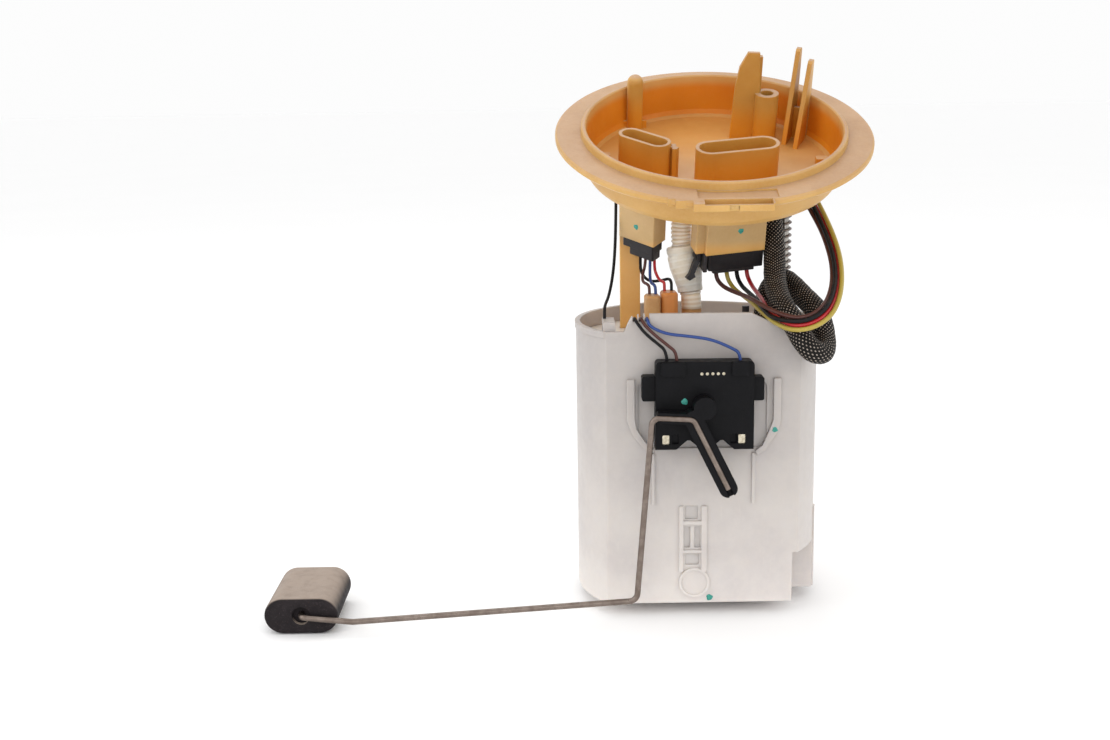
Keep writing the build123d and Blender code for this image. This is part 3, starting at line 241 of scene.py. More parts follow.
def rubber(name, base, other, rough=0.62, pores=2600.0, depth=0.00006, edge=0.0004, speckle=None, painted_top_light=None, specular=0.5):
    """Rubber: matt, fine closed pores, a dusty bloom on it, and when asked a paler grey painted on upward faces as
    painted top light.
    """
    n = Nodes(name)
    bloom = n.ramp(n.noise(120.0, 5.0, 0.6), 0.42, 0.72)
    colour = n.mix(bloom, base, other)
    pore = n.cells(pores)
    pit = n.ramp(pore, 0.15, 0.45)
    if speckle:
        colour = n.mix(n.math("MULTIPLY", n.ramp(n.noise(1500.0, 2.0), 0.60, 0.70), 0.7), colour, speckle)
    if painted_top_light:
        # painted highlight: faces turned up are painted a paler grey, in patches, standing in for the overhead light on
        # them
        upward = n.ramp(n.xyz(n.tc.outputs["Normal"])[2], 0.15, 0.95)
        top_light_patches = n.ramp(n.noise(150.0, 5.0, 0.7), 0.25, 0.6, 0.80, 1.0)
        colour = n.mix(n.math("MULTIPLY", upward, top_light_patches), colour, painted_top_light)
    n.set(Base_Color=colour, Roughness=n.ramp(n.noise(260.0, 4.0), 0.3, 0.7, rough - 0.07, rough + 0.1))
    n.bsdf.inputs["Specular IOR Level"].default_value = specular
    n.bump(n.math("ADD", pit, n.noise(700.0, 4.0)), depth, 1.0, edge)
    return n.mat


MAT = {}
# the canister's last argument paints it darker towards the top as painted shade and lighter near the bottom as painted
# floor bounce
MAT["canister"] = moulded("canister_plastic", srgb(210, 203, 198), srgb(199, 192, 189), 0.44, 0.10, 0.00002, 1500.0, 26.0, 0.0005,
                          0.30, (0.005, 0, 0), 0.45, 0.25, srgb(221, 214, 207), 0.0,
                          ((0.006, 1.12), (0.032, 0.94), (0.085, 0.77), (0.132, 0.70)))
MAT["white"] = moulded("white_plastic", srgb(212, 205, 197), srgb(198, 191, 185), 0.40, 0.10, 0.00002, 1500.0, 40.0, 0.0004,
                       0.25, (0.004, 0, 0), 0.45, 0.2, srgb(232, 226, 218))
MAT["tan"] = moulded("tan_plastic", srgb(196, 152, 100), srgb(180, 134, 84), 0.42, 0.10, 0.00002, 1500.0, 60.0, 0.0003, 0.25,
                     (0.003, 0, 0), 0.45, 0.2, srgb(216, 176, 128))
MAT["orange"] = moulded("orange_plastic", srgb(212, 142, 78), srgb(194, 122, 60), 0.40, 0.10, 0.00002, 1500.0, 60.0, 0.0003, 0.25,
                        (0.003, 0, 0), 0.45, 0.2, srgb(216, 146, 84))
MAT["black"] = moulded("black_plastic", srgb(40, 38, 40), srgb(30, 28, 31), 0.44, 0.14, 0.00004, 1900.0, 120.0, 0.0003, 0.0,
                       (0, 0, 0), 0.32, 0.4, srgb(62, 60, 61))
MAT["sender"] = moulded("sender_plastic", srgb(10, 10, 13), srgb(7, 7, 9), 0.48, 0.14, 0.00004, 2100.0, 110.0, 0.0003, 0.0,
                        (0, 0, 0), 0.13, 0.4, srgb(32, 31, 34))
MAT["grey"] = moulded("grey_plastic", srgb(60, 58, 60), srgb(46, 45, 47), 0.42, 0.12, 0.00003, 1900.0, 120.0, 0.0003, 0.0,
                      (0, 0, 0), 0.4, 0.3, srgb(88, 86, 86))
MAT["rubber"] = rubber("black_rubber", srgb(38, 36, 38), srgb(50, 47, 48), 0.6)
# the float's pale grey (164, 149, 137) is painted top light on its upward faces
MAT["float"] = rubber("float_rubber", srgb(30, 25, 27), srgb(40, 34, 36), 0.68, 1700.0, 0.00010, 0.0008, srgb(62, 54, 56), srgb(164, 149, 137), 0.2)
MAT["filter"] = rubber("filter_cloth", srgb(226, 222, 210), srgb(206, 200, 186), 0.8, 3600.0, 0.00012, 0.0)
MAT["steel"] = metal("plated_steel", srgb(176, 172, 164), srgb(150, 146, 140), 0.30, 0.12, (1, 1, 0.05), 700.0, 0.00001)
MAT["aluminium"] = metal("die_cast_aluminium", srgb(196, 195, 192), srgb(172, 170, 168), 0.42, 0.10, (1, 1, 1), 420.0, 0.00003, srgb(120, 118, 116), 0.0003)
MAT["rotor"] = metal("rotor_steel", srgb(150, 146, 142), srgb(112, 108, 104), 0.36, 0.14, (1, 1, 0.08), 600.0, 0.00002, srgb(90, 74, 62))
MAT["magnet"] = rubber("magnet_ferrite", srgb(64, 63, 66), srgb(48, 47, 50), 0.55, 2200.0, 0.00004, 0.0003)
MAT["terminal"] = metal("tinned_terminal", srgb(214, 206, 186), srgb(180, 170, 148), 0.26, 0.10, (1, 0.1, 1), 900.0, 0.000006, srgb(120, 106, 84))
MAT["rod"] = metal("rod_steel", srgb(190, 186, 180), srgb(160, 156, 150), 0.22, 0.10, (1, 1, 0.04), 900.0, 0.000006)
MAT["spring"] = metal("spring_steel", srgb(150, 142, 138), srgb(112, 104, 100), 0.30, 0.12, (1, 1, 1), 700.0, 0.000008, srgb(84, 76, 72))
MAT["wire"] = metal("arm_steel", srgb(134, 122, 114), srgb(114, 102, 94), 0.30, 0.08, (1, 1, 1), 260.0, 0.000005)
MAT["card"] = moulded("ceramic_card", srgb(226, 222, 212), srgb(210, 205, 194), 0.3, 0.08, 0.00001, 1500.0, 80.0, 0.0)
MAT["olive"] = insulation("olive_insulation", srgb(178, 158, 66), srgb(152, 132, 52), 0.34, 0.4, 0.1)
MAT["red"] = insulation("red_insulation", srgb(192, 24, 32), srgb(160, 18, 26))
MAT["black_lead"] = insulation("black_insulation", srgb(16, 15, 18), srgb(10, 9, 12), 0.46, 0.2, 0.04)
MAT["brown"] = insulation("brown_insulation", srgb(84, 44, 38), srgb(64, 32, 28), 0.38, 0.35, 0.08)
MAT["blue"] = insulation("blue_insulation", srgb(44, 74, 140), srgb(34, 56, 112), 0.36, 0.4, 0.1)


def flange_material():
    """Amber plastic of the flange, with light painted into its colour by region. The thin upright walls in the cup let
    light through and are painted a deep orange for it, the thick flat faces are painted paler for the overhead light
    they reflect, and faces turned down, the boxes under the cup and the leg get their own lit copies of the amber.
    """
    n = Nodes("flange_plastic")
    m = n.node("ShaderNodeMapping", vector_type="TEXTURE")
    n.t.links.new(n.tc.outputs["Object"], m.inputs[0])
    m.inputs["Location"].default_value = FLANGE
    m.inputs["Rotation"].default_value = (TILT, 0, 0)
    x, y, c = n.xyz(m.outputs[0])
    r = n.math("SQRT", n.math("ADD", n.math("MULTIPLY", x, x), n.math("MULTIPLY", y, y)))
    g = n.node("ShaderNodeNewGeometry")
    nx, ny, nz = n.xyz(g.outputs["Normal"])
    up = n.math("ADD", n.math("MULTIPLY", ny, AX_C.y), n.math("MULTIPLY", nz, AX_C.z))
    flat = n.ramp(up, 0.55, 0.95)
    upright = n.math("SUBTRACT", 1.0, n.ramp(n.math("ABSOLUTE", up), 0.35, 0.85))
    # the normal's part away from the axis tells the cup's outer rounding from its inner wall
    nb = n.math("ADD", n.math("MULTIPLY", ny, AX_B.y), n.math("MULTIPLY", nz, AX_B.z))
    outward = n.math("DIVIDE", n.math("ADD", n.math("MULTIPLY", nx, x), n.math("MULTIPLY", nb, y)), n.math("MAXIMUM", r, 0.001))
    outer = n.math("MULTIPLY", n.ramp(r, 0.0565, 0.0585), n.math("MAXIMUM", n.ramp(outward, -0.10, 0.20), n.ramp(up, -0.1, -0.4)))
    in_cup = n.math("MULTIPLY", n.ramp(r, 0.0622, 0.0606), n.ramp(c, -0.0195, -0.0180))
    in_cup = n.math("MULTIPLY", in_cup, n.math("SUBTRACT", 1.0, outer))
    wall = n.math("MULTIPLY", n.ramp(r, 0.0560, 0.0590), in_cup)
    low = n.ramp(c, 0.0040, -0.0140)
    below = n.ramp(c, -0.0196, -0.0206)
    leg = n.ramp(n.xyz()[2], 0.178, 0.172)
    drift = n.ramp(n.noise(30.0, 3.0), 0.35, 0.68)
    # outside of the cup, the boxes under it and the leg; the boxes and the leg are painted in their own paler and
    # lighter copies of the amber, painted light for how light falls on them
    body = n.mix(drift, srgb(201, 160, 95), srgb(191, 148, 82))
    body = n.mix(below, body, n.mix(drift, srgb(198, 167, 120), srgb(187, 154, 104)))
    body = n.mix(leg, body, n.mix(drift, srgb(224, 174, 102), srgb(214, 163, 92)))
    # painted light: faces turned down under the cup are painted paler, for light bounced up from the floor
    under = n.math("MULTIPLY", n.ramp(up, -0.55, -0.90), n.ramp(c, -0.0300, -0.0260))
    body = n.mix(n.math("MULTIPLY", under, 0.8), body, srgb(224, 184, 128))
    # painted light: upright faces in the cup are painted tan above and a glowing orange near the floor, standing in for
    # light coming through the amber walls and bouncing between them
    sides = n.mix(low, n.mix(drift, srgb(184, 136, 64), srgb(174, 125, 54)), n.mix(drift, srgb(205, 136, 42), srgb(195, 124, 34)))
    body = n.mix(n.math("MULTIPLY", in_cup, upright), body, sides)
    # painted glowing light: the cup's wall is painted deep orange near the floor, for light coming through it, and tan
    # higher up
    painted_glow = n.mix(n.ramp(c, 0.0020, -0.0030), n.mix(drift, srgb(204, 156, 92), srgb(196, 146, 80)), n.mix(drift, srgb(210, 125, 28), srgb(200, 111, 20)))
    body = n.mix(n.math("MULTIPLY", wall, upright), body, painted_glow)
    # painted reflection: flat faces turned up are painted paler, for the overhead light they reflect
    floor = n.math("MULTIPLY", in_cup, n.ramp(c, -0.0040, -0.0120))
    # painted reflection: the cup's floor is painted with an orange cast reflected from the back wall, paler towards the
    # front
    painted_floor_reflection = n.mix(n.ramp(y, 0.0260, -0.0160), n.mix(drift, srgb(202, 144, 72), srgb(192, 132, 62)), n.mix(drift, srgb(206, 166, 122), srgb(196, 155, 110)))
    faces = n.mix(floor, n.mix(drift, srgb(184, 149, 118), srgb(174, 138, 107)), painted_floor_reflection)
    body = n.mix(n.math("MULTIPLY", flat, 0.9), body, faces)
    # painted glowing light: the inside of the sockets, below the cup's floor, is painted a bright orange for light
    # coming through the walls
    deep = n.math("MULTIPLY", n.math("MULTIPLY", in_cup, low), n.math("SUBTRACT", 1.0, flat))
    body = n.mix(n.math("MULTIPLY", deep, 0.35), body, srgb(214, 136, 14))
    fine = n.ramp(n.noise(700.0, 5.0, 0.65), 0.3, 0.75)
    inside = n.math("SUBTRACT", 1.0, n.math("MULTIPLY", in_cup, 0.75))
    body = n.mix(n.math("MULTIPLY", n.math("MULTIPLY", fine, 0.10), inside), body, srgb(226, 196, 150))
    # fine pale marks here and there, a little rougher too; the bevel in the bump below rounds the thin edges and lips
    # so they catch the light
    marks = n.ramp(n.noise(380.0, 6.0, 0.7, None, 0.6), 0.62, 0.74)
    body = n.mix(n.math("MULTIPLY", n.math("MULTIPLY", marks, 0.12), inside), body, srgb(236, 208, 176))
    rough = n.math("ADD", n.ramp(n.noise(210.0, 4.0), 0.3, 0.7, 0.36, 0.46), n.math("MULTIPLY", marks, 0.06))
    n.set(Base_Color=body, Roughness=rough)
    n.bsdf.inputs["Specular IOR Level"].default_value = 0.32
    n.bsdf.inputs["Subsurface Weight"].default_value = 0.22
    n.bsdf.inputs["Subsurface Radius"].default_value = (1.0, 0.72, 0.4)
    n.bsdf.inputs["Subsurface Scale"].default_value = 0.0035
    n.bump(n.math("ADD", n.noise(1500.0, 3.0), n.math("MULTIPLY", n.noise(70.0, 2.0), 1.6)), 0.00002, 1.0, 0.0006)
    return n.mat


MAT["flange"] = flange_material()


def sleeve_material():
    """Black braided sleeve. Its UV counts the two sets of strands, so light dots of the hose below show where both gaps meet."""
    n = Nodes("braided_sleeve")
    uv = n.node("ShaderNodeUVMap")
    u, v, _ = n.xyz(uv.outputs[0])
    ca = n.math("COSINE", n.math("MULTIPLY", u, 2 * math.pi))
    cb = n.math("COSINE", n.math("MULTIPLY", v, 2 * math.pi))
    gap = n.math("MULTIPLY", n.math("ADD", n.math("MULTIPLY", ca, 0.5), 0.5), n.math("ADD", n.math("MULTIPLY", cb, 0.5), 0.5))
    hole = n.ramp(gap, 0.55, 0.74)
    vary = n.ramp(n.noise(260.0, 3.0), 0.3, 0.7, 0.55, 1.0)
    thread = n.noise(3800.0, 2.0)
    strands = n.mix(n.ramp(thread, 0.3, 0.7), srgb(13, 12, 11), srgb(22, 20, 18))
    colour = n.mix(n.math("MULTIPLY", hole, vary), strands, srgb(186, 174, 162))
    n.set(Base_Color=colour, Roughness=n.ramp(gap, 0.2, 0.7, 0.55, 0.7))
    n.bsdf.inputs["Specular IOR Level"].default_value = 0.16
    n.bump(n.math("SUBTRACT", n.math("MULTIPLY", thread, 0.25), hole), 0.00022)
    return n.mat


def corrugated_material():
    """Ribbed nylon hose, milky, with the valleys painted a little darker and yellower as painted shade between the
    ribs, and darker and browner lower down.
    """
    n = Nodes("corrugated_hose")
    uv = n.node("ShaderNodeUVMap")
    u, v, _ = n.xyz(uv.outputs[0])
    # painted shade: the valleys between the ribs are painted darker, the crests paler
    crest = n.ramp(n.math("COSINE", n.math("MULTIPLY", v, 2 * math.pi)), -0.8, 0.8)
    drift = n.ramp(n.noise(60.0, 3.0), 0.35, 0.7)
    colour = n.mix(crest, n.mix(drift, srgb(236, 222, 203), srgb(226, 210, 188)), n.mix(drift, srgb(251, 246, 238), srgb(246, 239, 228)))
    low = n.ramp(n.xyz()[2], 0.184, 0.160)
    colour = n.mix(n.math("MULTIPLY", low, 0.25), colour, srgb(196, 172, 140))
    n.set(Base_Color=colour, Roughness=n.ramp(n.noise(400.0, 4.0), 0.3, 0.7, 0.32, 0.44))
    n.bsdf.inputs["Subsurface Weight"].default_value = 0.9
    n.bsdf.inputs["Subsurface Radius"].default_value = (1.0, 0.9, 0.75)
    n.bsdf.inputs["Subsurface Scale"].default_value = 0.006
    n.bump(n.noise(1400.0, 3.0), 0.00002)
    return n.mat


def coupling_material():
    """Natural nylon coupling, translucent, with faint rings from its moulding."""
    n = Nodes("natural_sleeve")
    uv = n.node("ShaderNodeUVMap")
    u, v, _ = n.xyz(uv.outputs[0])
    ring = n.ramp(n.math("SINE", n.math("MULTIPLY", v, 2 * math.pi / 0.0031)), 0.2, 1.0)
    drift = n.ramp(n.noise(90.0, 4.0), 0.35, 0.7)
    colour = n.mix(drift, srgb(232, 222, 206), srgb(220, 207, 186))
    colour = n.mix(n.math("MULTIPLY", ring, 0.35), colour, srgb(246, 240, 230))
    n.set(Base_Color=colour, Roughness=n.ramp(n.noise(400.0, 4.0), 0.3, 0.7, 0.26, 0.38))
    n.bsdf.inputs["Subsurface Weight"].default_value = 0.8
    n.bsdf.inputs["Subsurface Radius"].default_value = (1.0, 0.9, 0.75)
    n.bsdf.inputs["Subsurface Scale"].default_value = 0.005
    n.bump(n.math("ADD", ring, n.noise(900.0, 3.0)), 0.00006)
    return n.mat


def paint_material():
    """A dab of teal marking paint, thicker in places."""
    n = Nodes("teal_paint")
    thick = n.ramp(n.noise(1300.0, 4.0), 0.3, 0.7)
    n.set(Base_Color=n.mix(thick, srgb(30, 128, 118), srgb(64, 158, 142)), Roughness=n.ramp(n.noise(900.0, 2.0), 0.3, 0.7, 0.3, 0.5))
    n.bump(thick, 0.0001)
    return n.mat


MAT["sleeve"] = sleeve_material()
MAT["corrugated"] = corrugated_material()
MAT["coupling"] = coupling_material()
MAT["paint"] = paint_material()

FINISH = {
    "reservoir": "canister", "base_plate": "canister", "foot_valve": "rubber", "pump_holder": "white", "vent_stud": "black", "return_union": "black",
    "pump_isolator": "rubber", "pump_can": "steel", "pump_inlet_cover": "aluminium", "pump_armature": "rotor", "pump_magnets": "magnet",
    "pump_end_cap": "tan", "terminal_tower_left": "tan", "terminal_tower_right": "orange", "inlet_strainer": "filter", "jet_pump": "white",
    "flange_cover": "flange", "left_socket_terminals": "terminal", "right_socket_terminals": "terminal", "left_connector": "black",
    "right_connector": "black", "terminal_comb": "grey", "connector_lock": "grey", "connector_latch": "black", "latch_bracket": "black",
    "guide_rod": "rod", "rod_clip": "rod", "sender_housing": "sender", "sender_back_cover": "sender", "resistor_card": "card",
    "sender_pins": "terminal", "sender_contact_plates": "terminal", "sender_lever": "sender", "sender_wiper": "terminal",
    "float_arm_wire": "wire", "float": "float", "lead_grommet": "rubber",
}
for name, key in FINISH.items():
    slots = node[name].material_slots
    for s in slots:
        s.material = MAT[key]


# ---------------------------------------------------------------- camera
PITCH, ROLL = math.radians(11.28), math.radians(-0.93)
forward = Vector((0, math.cos(PITCH), -math.sin(PITCH)))
flat_up = Vector((0, math.sin(PITCH), math.cos(PITCH)))
right = math.cos(ROLL) * Vector((1, 0, 0)) + math.sin(ROLL) * flat_up
up = -math.sin(ROLL) * Vector((1, 0, 0)) + math.cos(ROLL) * flat_up
cam_data = bpy.data.cameras.new("camera")
cam_data.sensor_width = 36.0
cam_data.lens = 1350.0 / 1110.0 * 36.0
cam_data.clip_start, cam_data.clip_end = 0.01, 100.0
camera = bpy.data.objects.new("camera", cam_data)
scene.collection.objects.link(camera)
m = Matrix((right, up, -forward)).transposed().to_4x4()
m.translation = mm(-69.04, -651.84, 244.2)
camera.matrix_world = m
scene.camera = camera


# ---------------------------------------------------------------- stage and light
def make_stage():
    """A plain pale floor that runs far out past the object."""
    n = Nodes("pale_floor")
    n.set(Base_Color=n.mix(n.ramp(n.noise(3.0, 4.0), 0.3, 0.7), srgb(254.6, 254.6, 254.6), srgb(254.0, 254.0, 254.0)), Roughness=0.8)
    n.bsdf.inputs["Specular IOR Level"].default_value = 0.05
    n.bump(n.noise(60.0, 3.0), 0.0001)
    bm = bmesh.new()
    rings = []
    for r in (0.5, 1.0, 2.5, 6.0, 15.0, 40.0):
        rings.append([bm.verts.new((r * math.cos(t), r * math.sin(t), 0.0)) for t in [2 * math.pi * i / 96 for i in range(96)]])
    for a, b in zip(rings, rings[1:]):
        for i in range(96):
            bm.faces.new((a[i], b[i], b[(i + 1) % 96], a[(i + 1) % 96]))
    bm.faces.new(rings[0])
    me = bpy.data.meshes.new("studio_floor")
    bm.to_mesh(me)
    bm.free()
    o = link_mesh("studio_floor", me)
    o.data.materials.append(n.mat)


make_stage()
world = bpy.data.worlds.new("world")
scene.world = world
world.use_nodes = True
world.node_tree.nodes["Background"].inputs[0].default_value = (0.98, 0.98, 0.98, 1)
world.node_tree.nodes["Background"].inputs[1].default_value = 1.0


def soft_light(name, at, to, size, power, colour=(1, 1, 1)):
    d = bpy.data.lights.new(name, "AREA")
    d.shape = "RECTANGLE"
    d.size, d.size_y = size
    d.energy = power
    d.color = colour
    o = bpy.data.objects.new(name, d)
    scene.collection.objects.link(o)
    o.location = Vector(at)
    o.rotation_mode = "QUATERNION"
    o.rotation_quaternion = (Vector(to) - Vector(at)).to_track_quat("-Z", "Y")


soft_light("softbox_top", (-0.25, 0.35, 1.35), (0, 0, 0.15), (1.1, 0.9), 3.0)
soft_light("softbox_left", (-1.25, -0.65, 0.75), (0, 0, 0.12), (0.8, 1.0), 4.0)
soft_light("softbox_right", (1.2, -0.9, 0.6), (0, 0, 0.12), (0.7, 0.9), 3.0)
soft_light("softbox_front", (-0.25, -1.3, 0.75), (0, 0, 0.15), (1.2, 0.9), 2.7)


# ---------------------------------------------------------------- cords
ROUTES = {
    "feed_hose": [(-0.0056, 0.0085, 0.2059), (-0.0056, 0.0085, 0.193), (-0.0064, 0.0106, 0.1745), (-0.0014, 0.006, 0.1516),
        (-0.0014, 0.006, 0.1431)],
    "return_hose": [(0.0362, 0.013, 0.2059), (0.0362, 0.013, 0.198), (0.0377, 0.0086, 0.187), (0.0383, 0.0036, 0.176), (0.0379, -0.0024, 0.1665),
        (0.0363, -0.013, 0.1582), (0.0362, -0.024, 0.1527), (0.0372, -0.034, 0.1487), (0.0397, -0.042, 0.1443), (0.0439, -0.0493, 0.1352),
        (0.0486, -0.05, 0.1303), (0.0538, -0.046, 0.1292), (0.0556, -0.0396, 0.133), (0.0551, -0.0334, 0.1414), (0.0537, -0.026, 0.1468),
        (0.0501, -0.016, 0.1504), (0.0466, -0.006, 0.1547), (0.0434, 0.003, 0.1574), (0.0396, 0.009, 0.155), (0.0355, 0.012, 0.1465),
        (0.0355, 0.012, 0.13405)],
    "lead_olive": [(0.0155, 0.0044, 0.1659), (0.0155, 0.0072, 0.1592), (0.0184, 0.0038, 0.1532), (0.0226, -0.0055, 0.1502),
        (0.0251, -0.0147, 0.1486), (0.0278, -0.0317, 0.146), (0.0315, -0.0478, 0.1434), (0.0369, -0.0592, 0.1421), (0.0454, -0.064, 0.1439),
        (0.0537, -0.0608, 0.1484), (0.0593, -0.0514, 0.1544), (0.063, -0.0391, 0.1616), (0.0649, -0.0258, 0.1697), (0.0648, -0.0125, 0.1777),
        (0.0634, -0.001, 0.1851), (0.0616, 0.0093, 0.1918), (0.0594, 0.0179, 0.1981), (0.0578, 0.0259, 0.2052), (0.0578, 0.0226, 0.2132)],
    "lead_red": [(0.0256, 0.0062, 0.1666), (0.0256, 0.009, 0.16), (0.0278, 0.0054, 0.1542), (0.0296, -0.0045, 0.1512), (0.0301, -0.0149, 0.1499),
        (0.0301, -0.0319, 0.1476), (0.0326, -0.0476, 0.1454), (0.0381, -0.0581, 0.1439), (0.0449, -0.0624, 0.1456), (0.0519, -0.0593, 0.1491),
        (0.0575, -0.0501, 0.1536), (0.0617, -0.0378, 0.16), (0.064, -0.0246, 0.1678), (0.0641, -0.0113, 0.1757), (0.0629, 0.0002, 0.1831),
        (0.06, 0.0109, 0.1906), (0.0568, 0.0177, 0.198), (0.0552, 0.0259, 0.2052), (0.0552, 0.0226, 0.2132)],
    "lead_black": [(0.0206, 0.0053, 0.1662), (0.0206, 0.0081, 0.1596), (0.0226, 0.0046, 0.1542), (0.0252, -0.0045, 0.1518), (0.0266, -0.015, 0.1508),
        (0.0272, -0.032, 0.1486), (0.0294, -0.0486, 0.1462), (0.0371, -0.0589, 0.146), (0.0441, -0.0635, 0.1476), (0.051, -0.0601, 0.1512),
        (0.0561, -0.0507, 0.1555), (0.0601, -0.0385, 0.1616), (0.062, -0.0253, 0.1691), (0.062, -0.012, 0.1767), (0.0607, -0.0006, 0.1838),
        (0.0582, 0.0089, 0.1918), (0.0552, 0.0166, 0.1999), (0.0524, 0.0259, 0.2052), (0.0524, 0.0226, 0.2132)],
    "lead_brown": [(0.0102, 0.0035, 0.1655), (0.0102, 0.0063, 0.1588), (0.013, 0.0032, 0.1542), (0.018, -0.0045, 0.1522), (0.0227, -0.0153, 0.1515),
        (0.0259, -0.0323, 0.1508), (0.031, -0.0483, 0.1488), (0.0387, -0.0575, 0.1473), (0.0438, -0.0614, 0.1488), (0.0493, -0.0583, 0.1512),
        (0.0544, -0.0493, 0.1544), (0.0588, -0.0372, 0.16), (0.0611, -0.0241, 0.1672), (0.0613, -0.0108, 0.1747), (0.0602, 0.0007, 0.1818),
        (0.0566, 0.0106, 0.1906), (0.0529, 0.0169, 0.1989), (0.0498, 0.0259, 0.2052), (0.0498, 0.0226, 0.2132)],
    "side_lead": [(-0.0377, 0.0112, 0.2106), (-0.0377, 0.0142, 0.2036), (-0.038, 0.011, 0.19), (-0.0386, 0.0075, 0.174), (-0.04, 0.001, 0.161),
        (-0.0426, -0.009, 0.1516), (-0.045, -0.0186, 0.1486), (-0.0453, -0.0228, 0.1462), (-0.0453, -0.0228, 0.1374)],
    "pump_lead_brown": [(-0.0232, 0.011, 0.1741), (-0.0232, 0.0153, 0.1639), (-0.025, 0.0124, 0.1592), (-0.0254, 0.006, 0.1562),
        (-0.0228, 0.0018, 0.1556), (-0.0223, 0.0008, 0.1532), (-0.0223, 0.0008, 0.1446)],
    "pump_lead_blue": [(-0.0212, 0.0095, 0.1734), (-0.0212, 0.0138, 0.1633), (-0.0214, 0.011, 0.1586), (-0.0214, 0.0052, 0.1558),
        (-0.0198, 0.0018, 0.1554), (-0.0193, 0.0008, 0.153), (-0.0193, 0.0008, 0.1446)],
    "pump_lead_red": [(-0.0193, 0.0081, 0.1728), (-0.0193, 0.0123, 0.1627), (-0.018, 0.0114, 0.1586), (-0.0166, 0.0076, 0.1566),
        (-0.015, 0.0044, 0.1564), (-0.0148, 0.0036, 0.1544), (-0.0148, 0.0036, 0.1446)],
    "pump_lead_black": [(-0.0258, 0.013, 0.1749), (-0.0258, 0.0173, 0.1647), (-0.0254, 0.0166, 0.1592), (-0.0216, 0.015, 0.1552),
        (-0.0156, 0.0122, 0.156), (-0.0122, 0.0082, 0.1576), (-0.0114, 0.0046, 0.1564), (-0.0114, 0.0036, 0.1538), (-0.0114, 0.0036, 0.1446)],
    "sender_lead_black": [(-0.032, -0.027, 0.1314), (-0.032, -0.027, 0.1382), (-0.032, -0.0308, 0.1442), (-0.0318, -0.036, 0.145),
        (-0.0308, -0.0402, 0.143), (-0.0272, -0.0418, 0.1386), (-0.022, -0.0426, 0.1344), (-0.0174, -0.0432, 0.1304), (-0.0174, -0.0432, 0.1226)],
    "sender_lead_brown": [(-0.0292, -0.027, 0.1314), (-0.0292, -0.027, 0.1382), (-0.029, -0.0308, 0.1442), (-0.029, -0.036, 0.145),
        (-0.0276, -0.04, 0.1424), (-0.0228, -0.0414, 0.1378), (-0.017, -0.0424, 0.1332), (-0.0128, -0.0432, 0.1298), (-0.0128, -0.0432, 0.1226)],
    "sender_lead_blue": [(-0.0264, -0.027, 0.1314), (-0.0264, -0.027, 0.1382), (-0.0262, -0.0308, 0.1442), (-0.0262, -0.0368, 0.1452),
        (-0.0254, -0.04, 0.1418), (-0.0176, -0.0404, 0.1382), (-0.007, -0.0412, 0.1372), (0.0034, -0.042, 0.1356), (0.012, -0.0428, 0.1318),
        (0.0164, -0.0432, 0.1292), (0.0164, -0.0432, 0.1226)],
}


def spline_line(name, points, step=24):
    """The points that Blender gives for the route's own NURBS spline."""
    cu = bpy.data.curves.new(name + "_route", "CURVE")
    cu.dimensions = "3D"
    sp = cu.splines.new("NURBS")
    sp.points.add(len(points) - 1)
    for p, co in zip(sp.points, points):
        p.co = (*co, 1.0)
    sp.order_u = 3
    sp.use_endpoint_u = True
    cu.resolution_u = step
    sp.resolution_u = step
    o = bpy.data.objects.new(name + "_route", cu)
    scene.collection.objects.link(o)
    bpy.context.view_layer.update()
    me = bpy.data.meshes.new_from_object(o.evaluated_get(bpy.context.evaluated_depsgraph_get()))
    line = [v.co.copy() for v in me.vertices]
    bpy.data.objects.remove(o)
    bpy.data.curves.remove(cu)
    bpy.data.meshes.remove(me)
    return line


def arc(line):
    s = [0.0]
    for a, b in zip(line, line[1:]):
        s.append(s[-1] + (b - a).length)
    return s


def along(line, s, where):
    """The point of the line at arc length where."""
    if where <= 0:
        return line[0] + (line[0] - line[1]).normalized() * -where
    if where >= s[-1]:
        return line[-1] + (line[-1] - line[-2]).normalized() * (where - s[-1])
    lo, hi = 0, len(s) - 1
    while hi - lo > 1:
        mid = (lo + hi) // 2
        if s[mid] <= where:
            lo = mid
        else:
            hi = mid
    f = (where - s[lo]) / max(s[hi] - s[lo], 1e-12)
    return line[lo].lerp(line[hi], f)


def frames(centres):
    """A frame for each point, carried along without twist."""
    tangents = []
    for i in range(len(centres)):
        a, b = centres[max(i - 1, 0)], centres[min(i + 1, len(centres) - 1)]
        tangents.append((b - a).normalized())
    side = tangents[0].orthogonal().normalized()
    out = []
    for i, t in enumerate(tangents):
        if i:
            side = tangents[i - 1].rotation_difference(t) @ side
            side = (side - t * side.dot(t)).normalized()
        out.append((t, side.copy(), t.cross(side)))
    return out


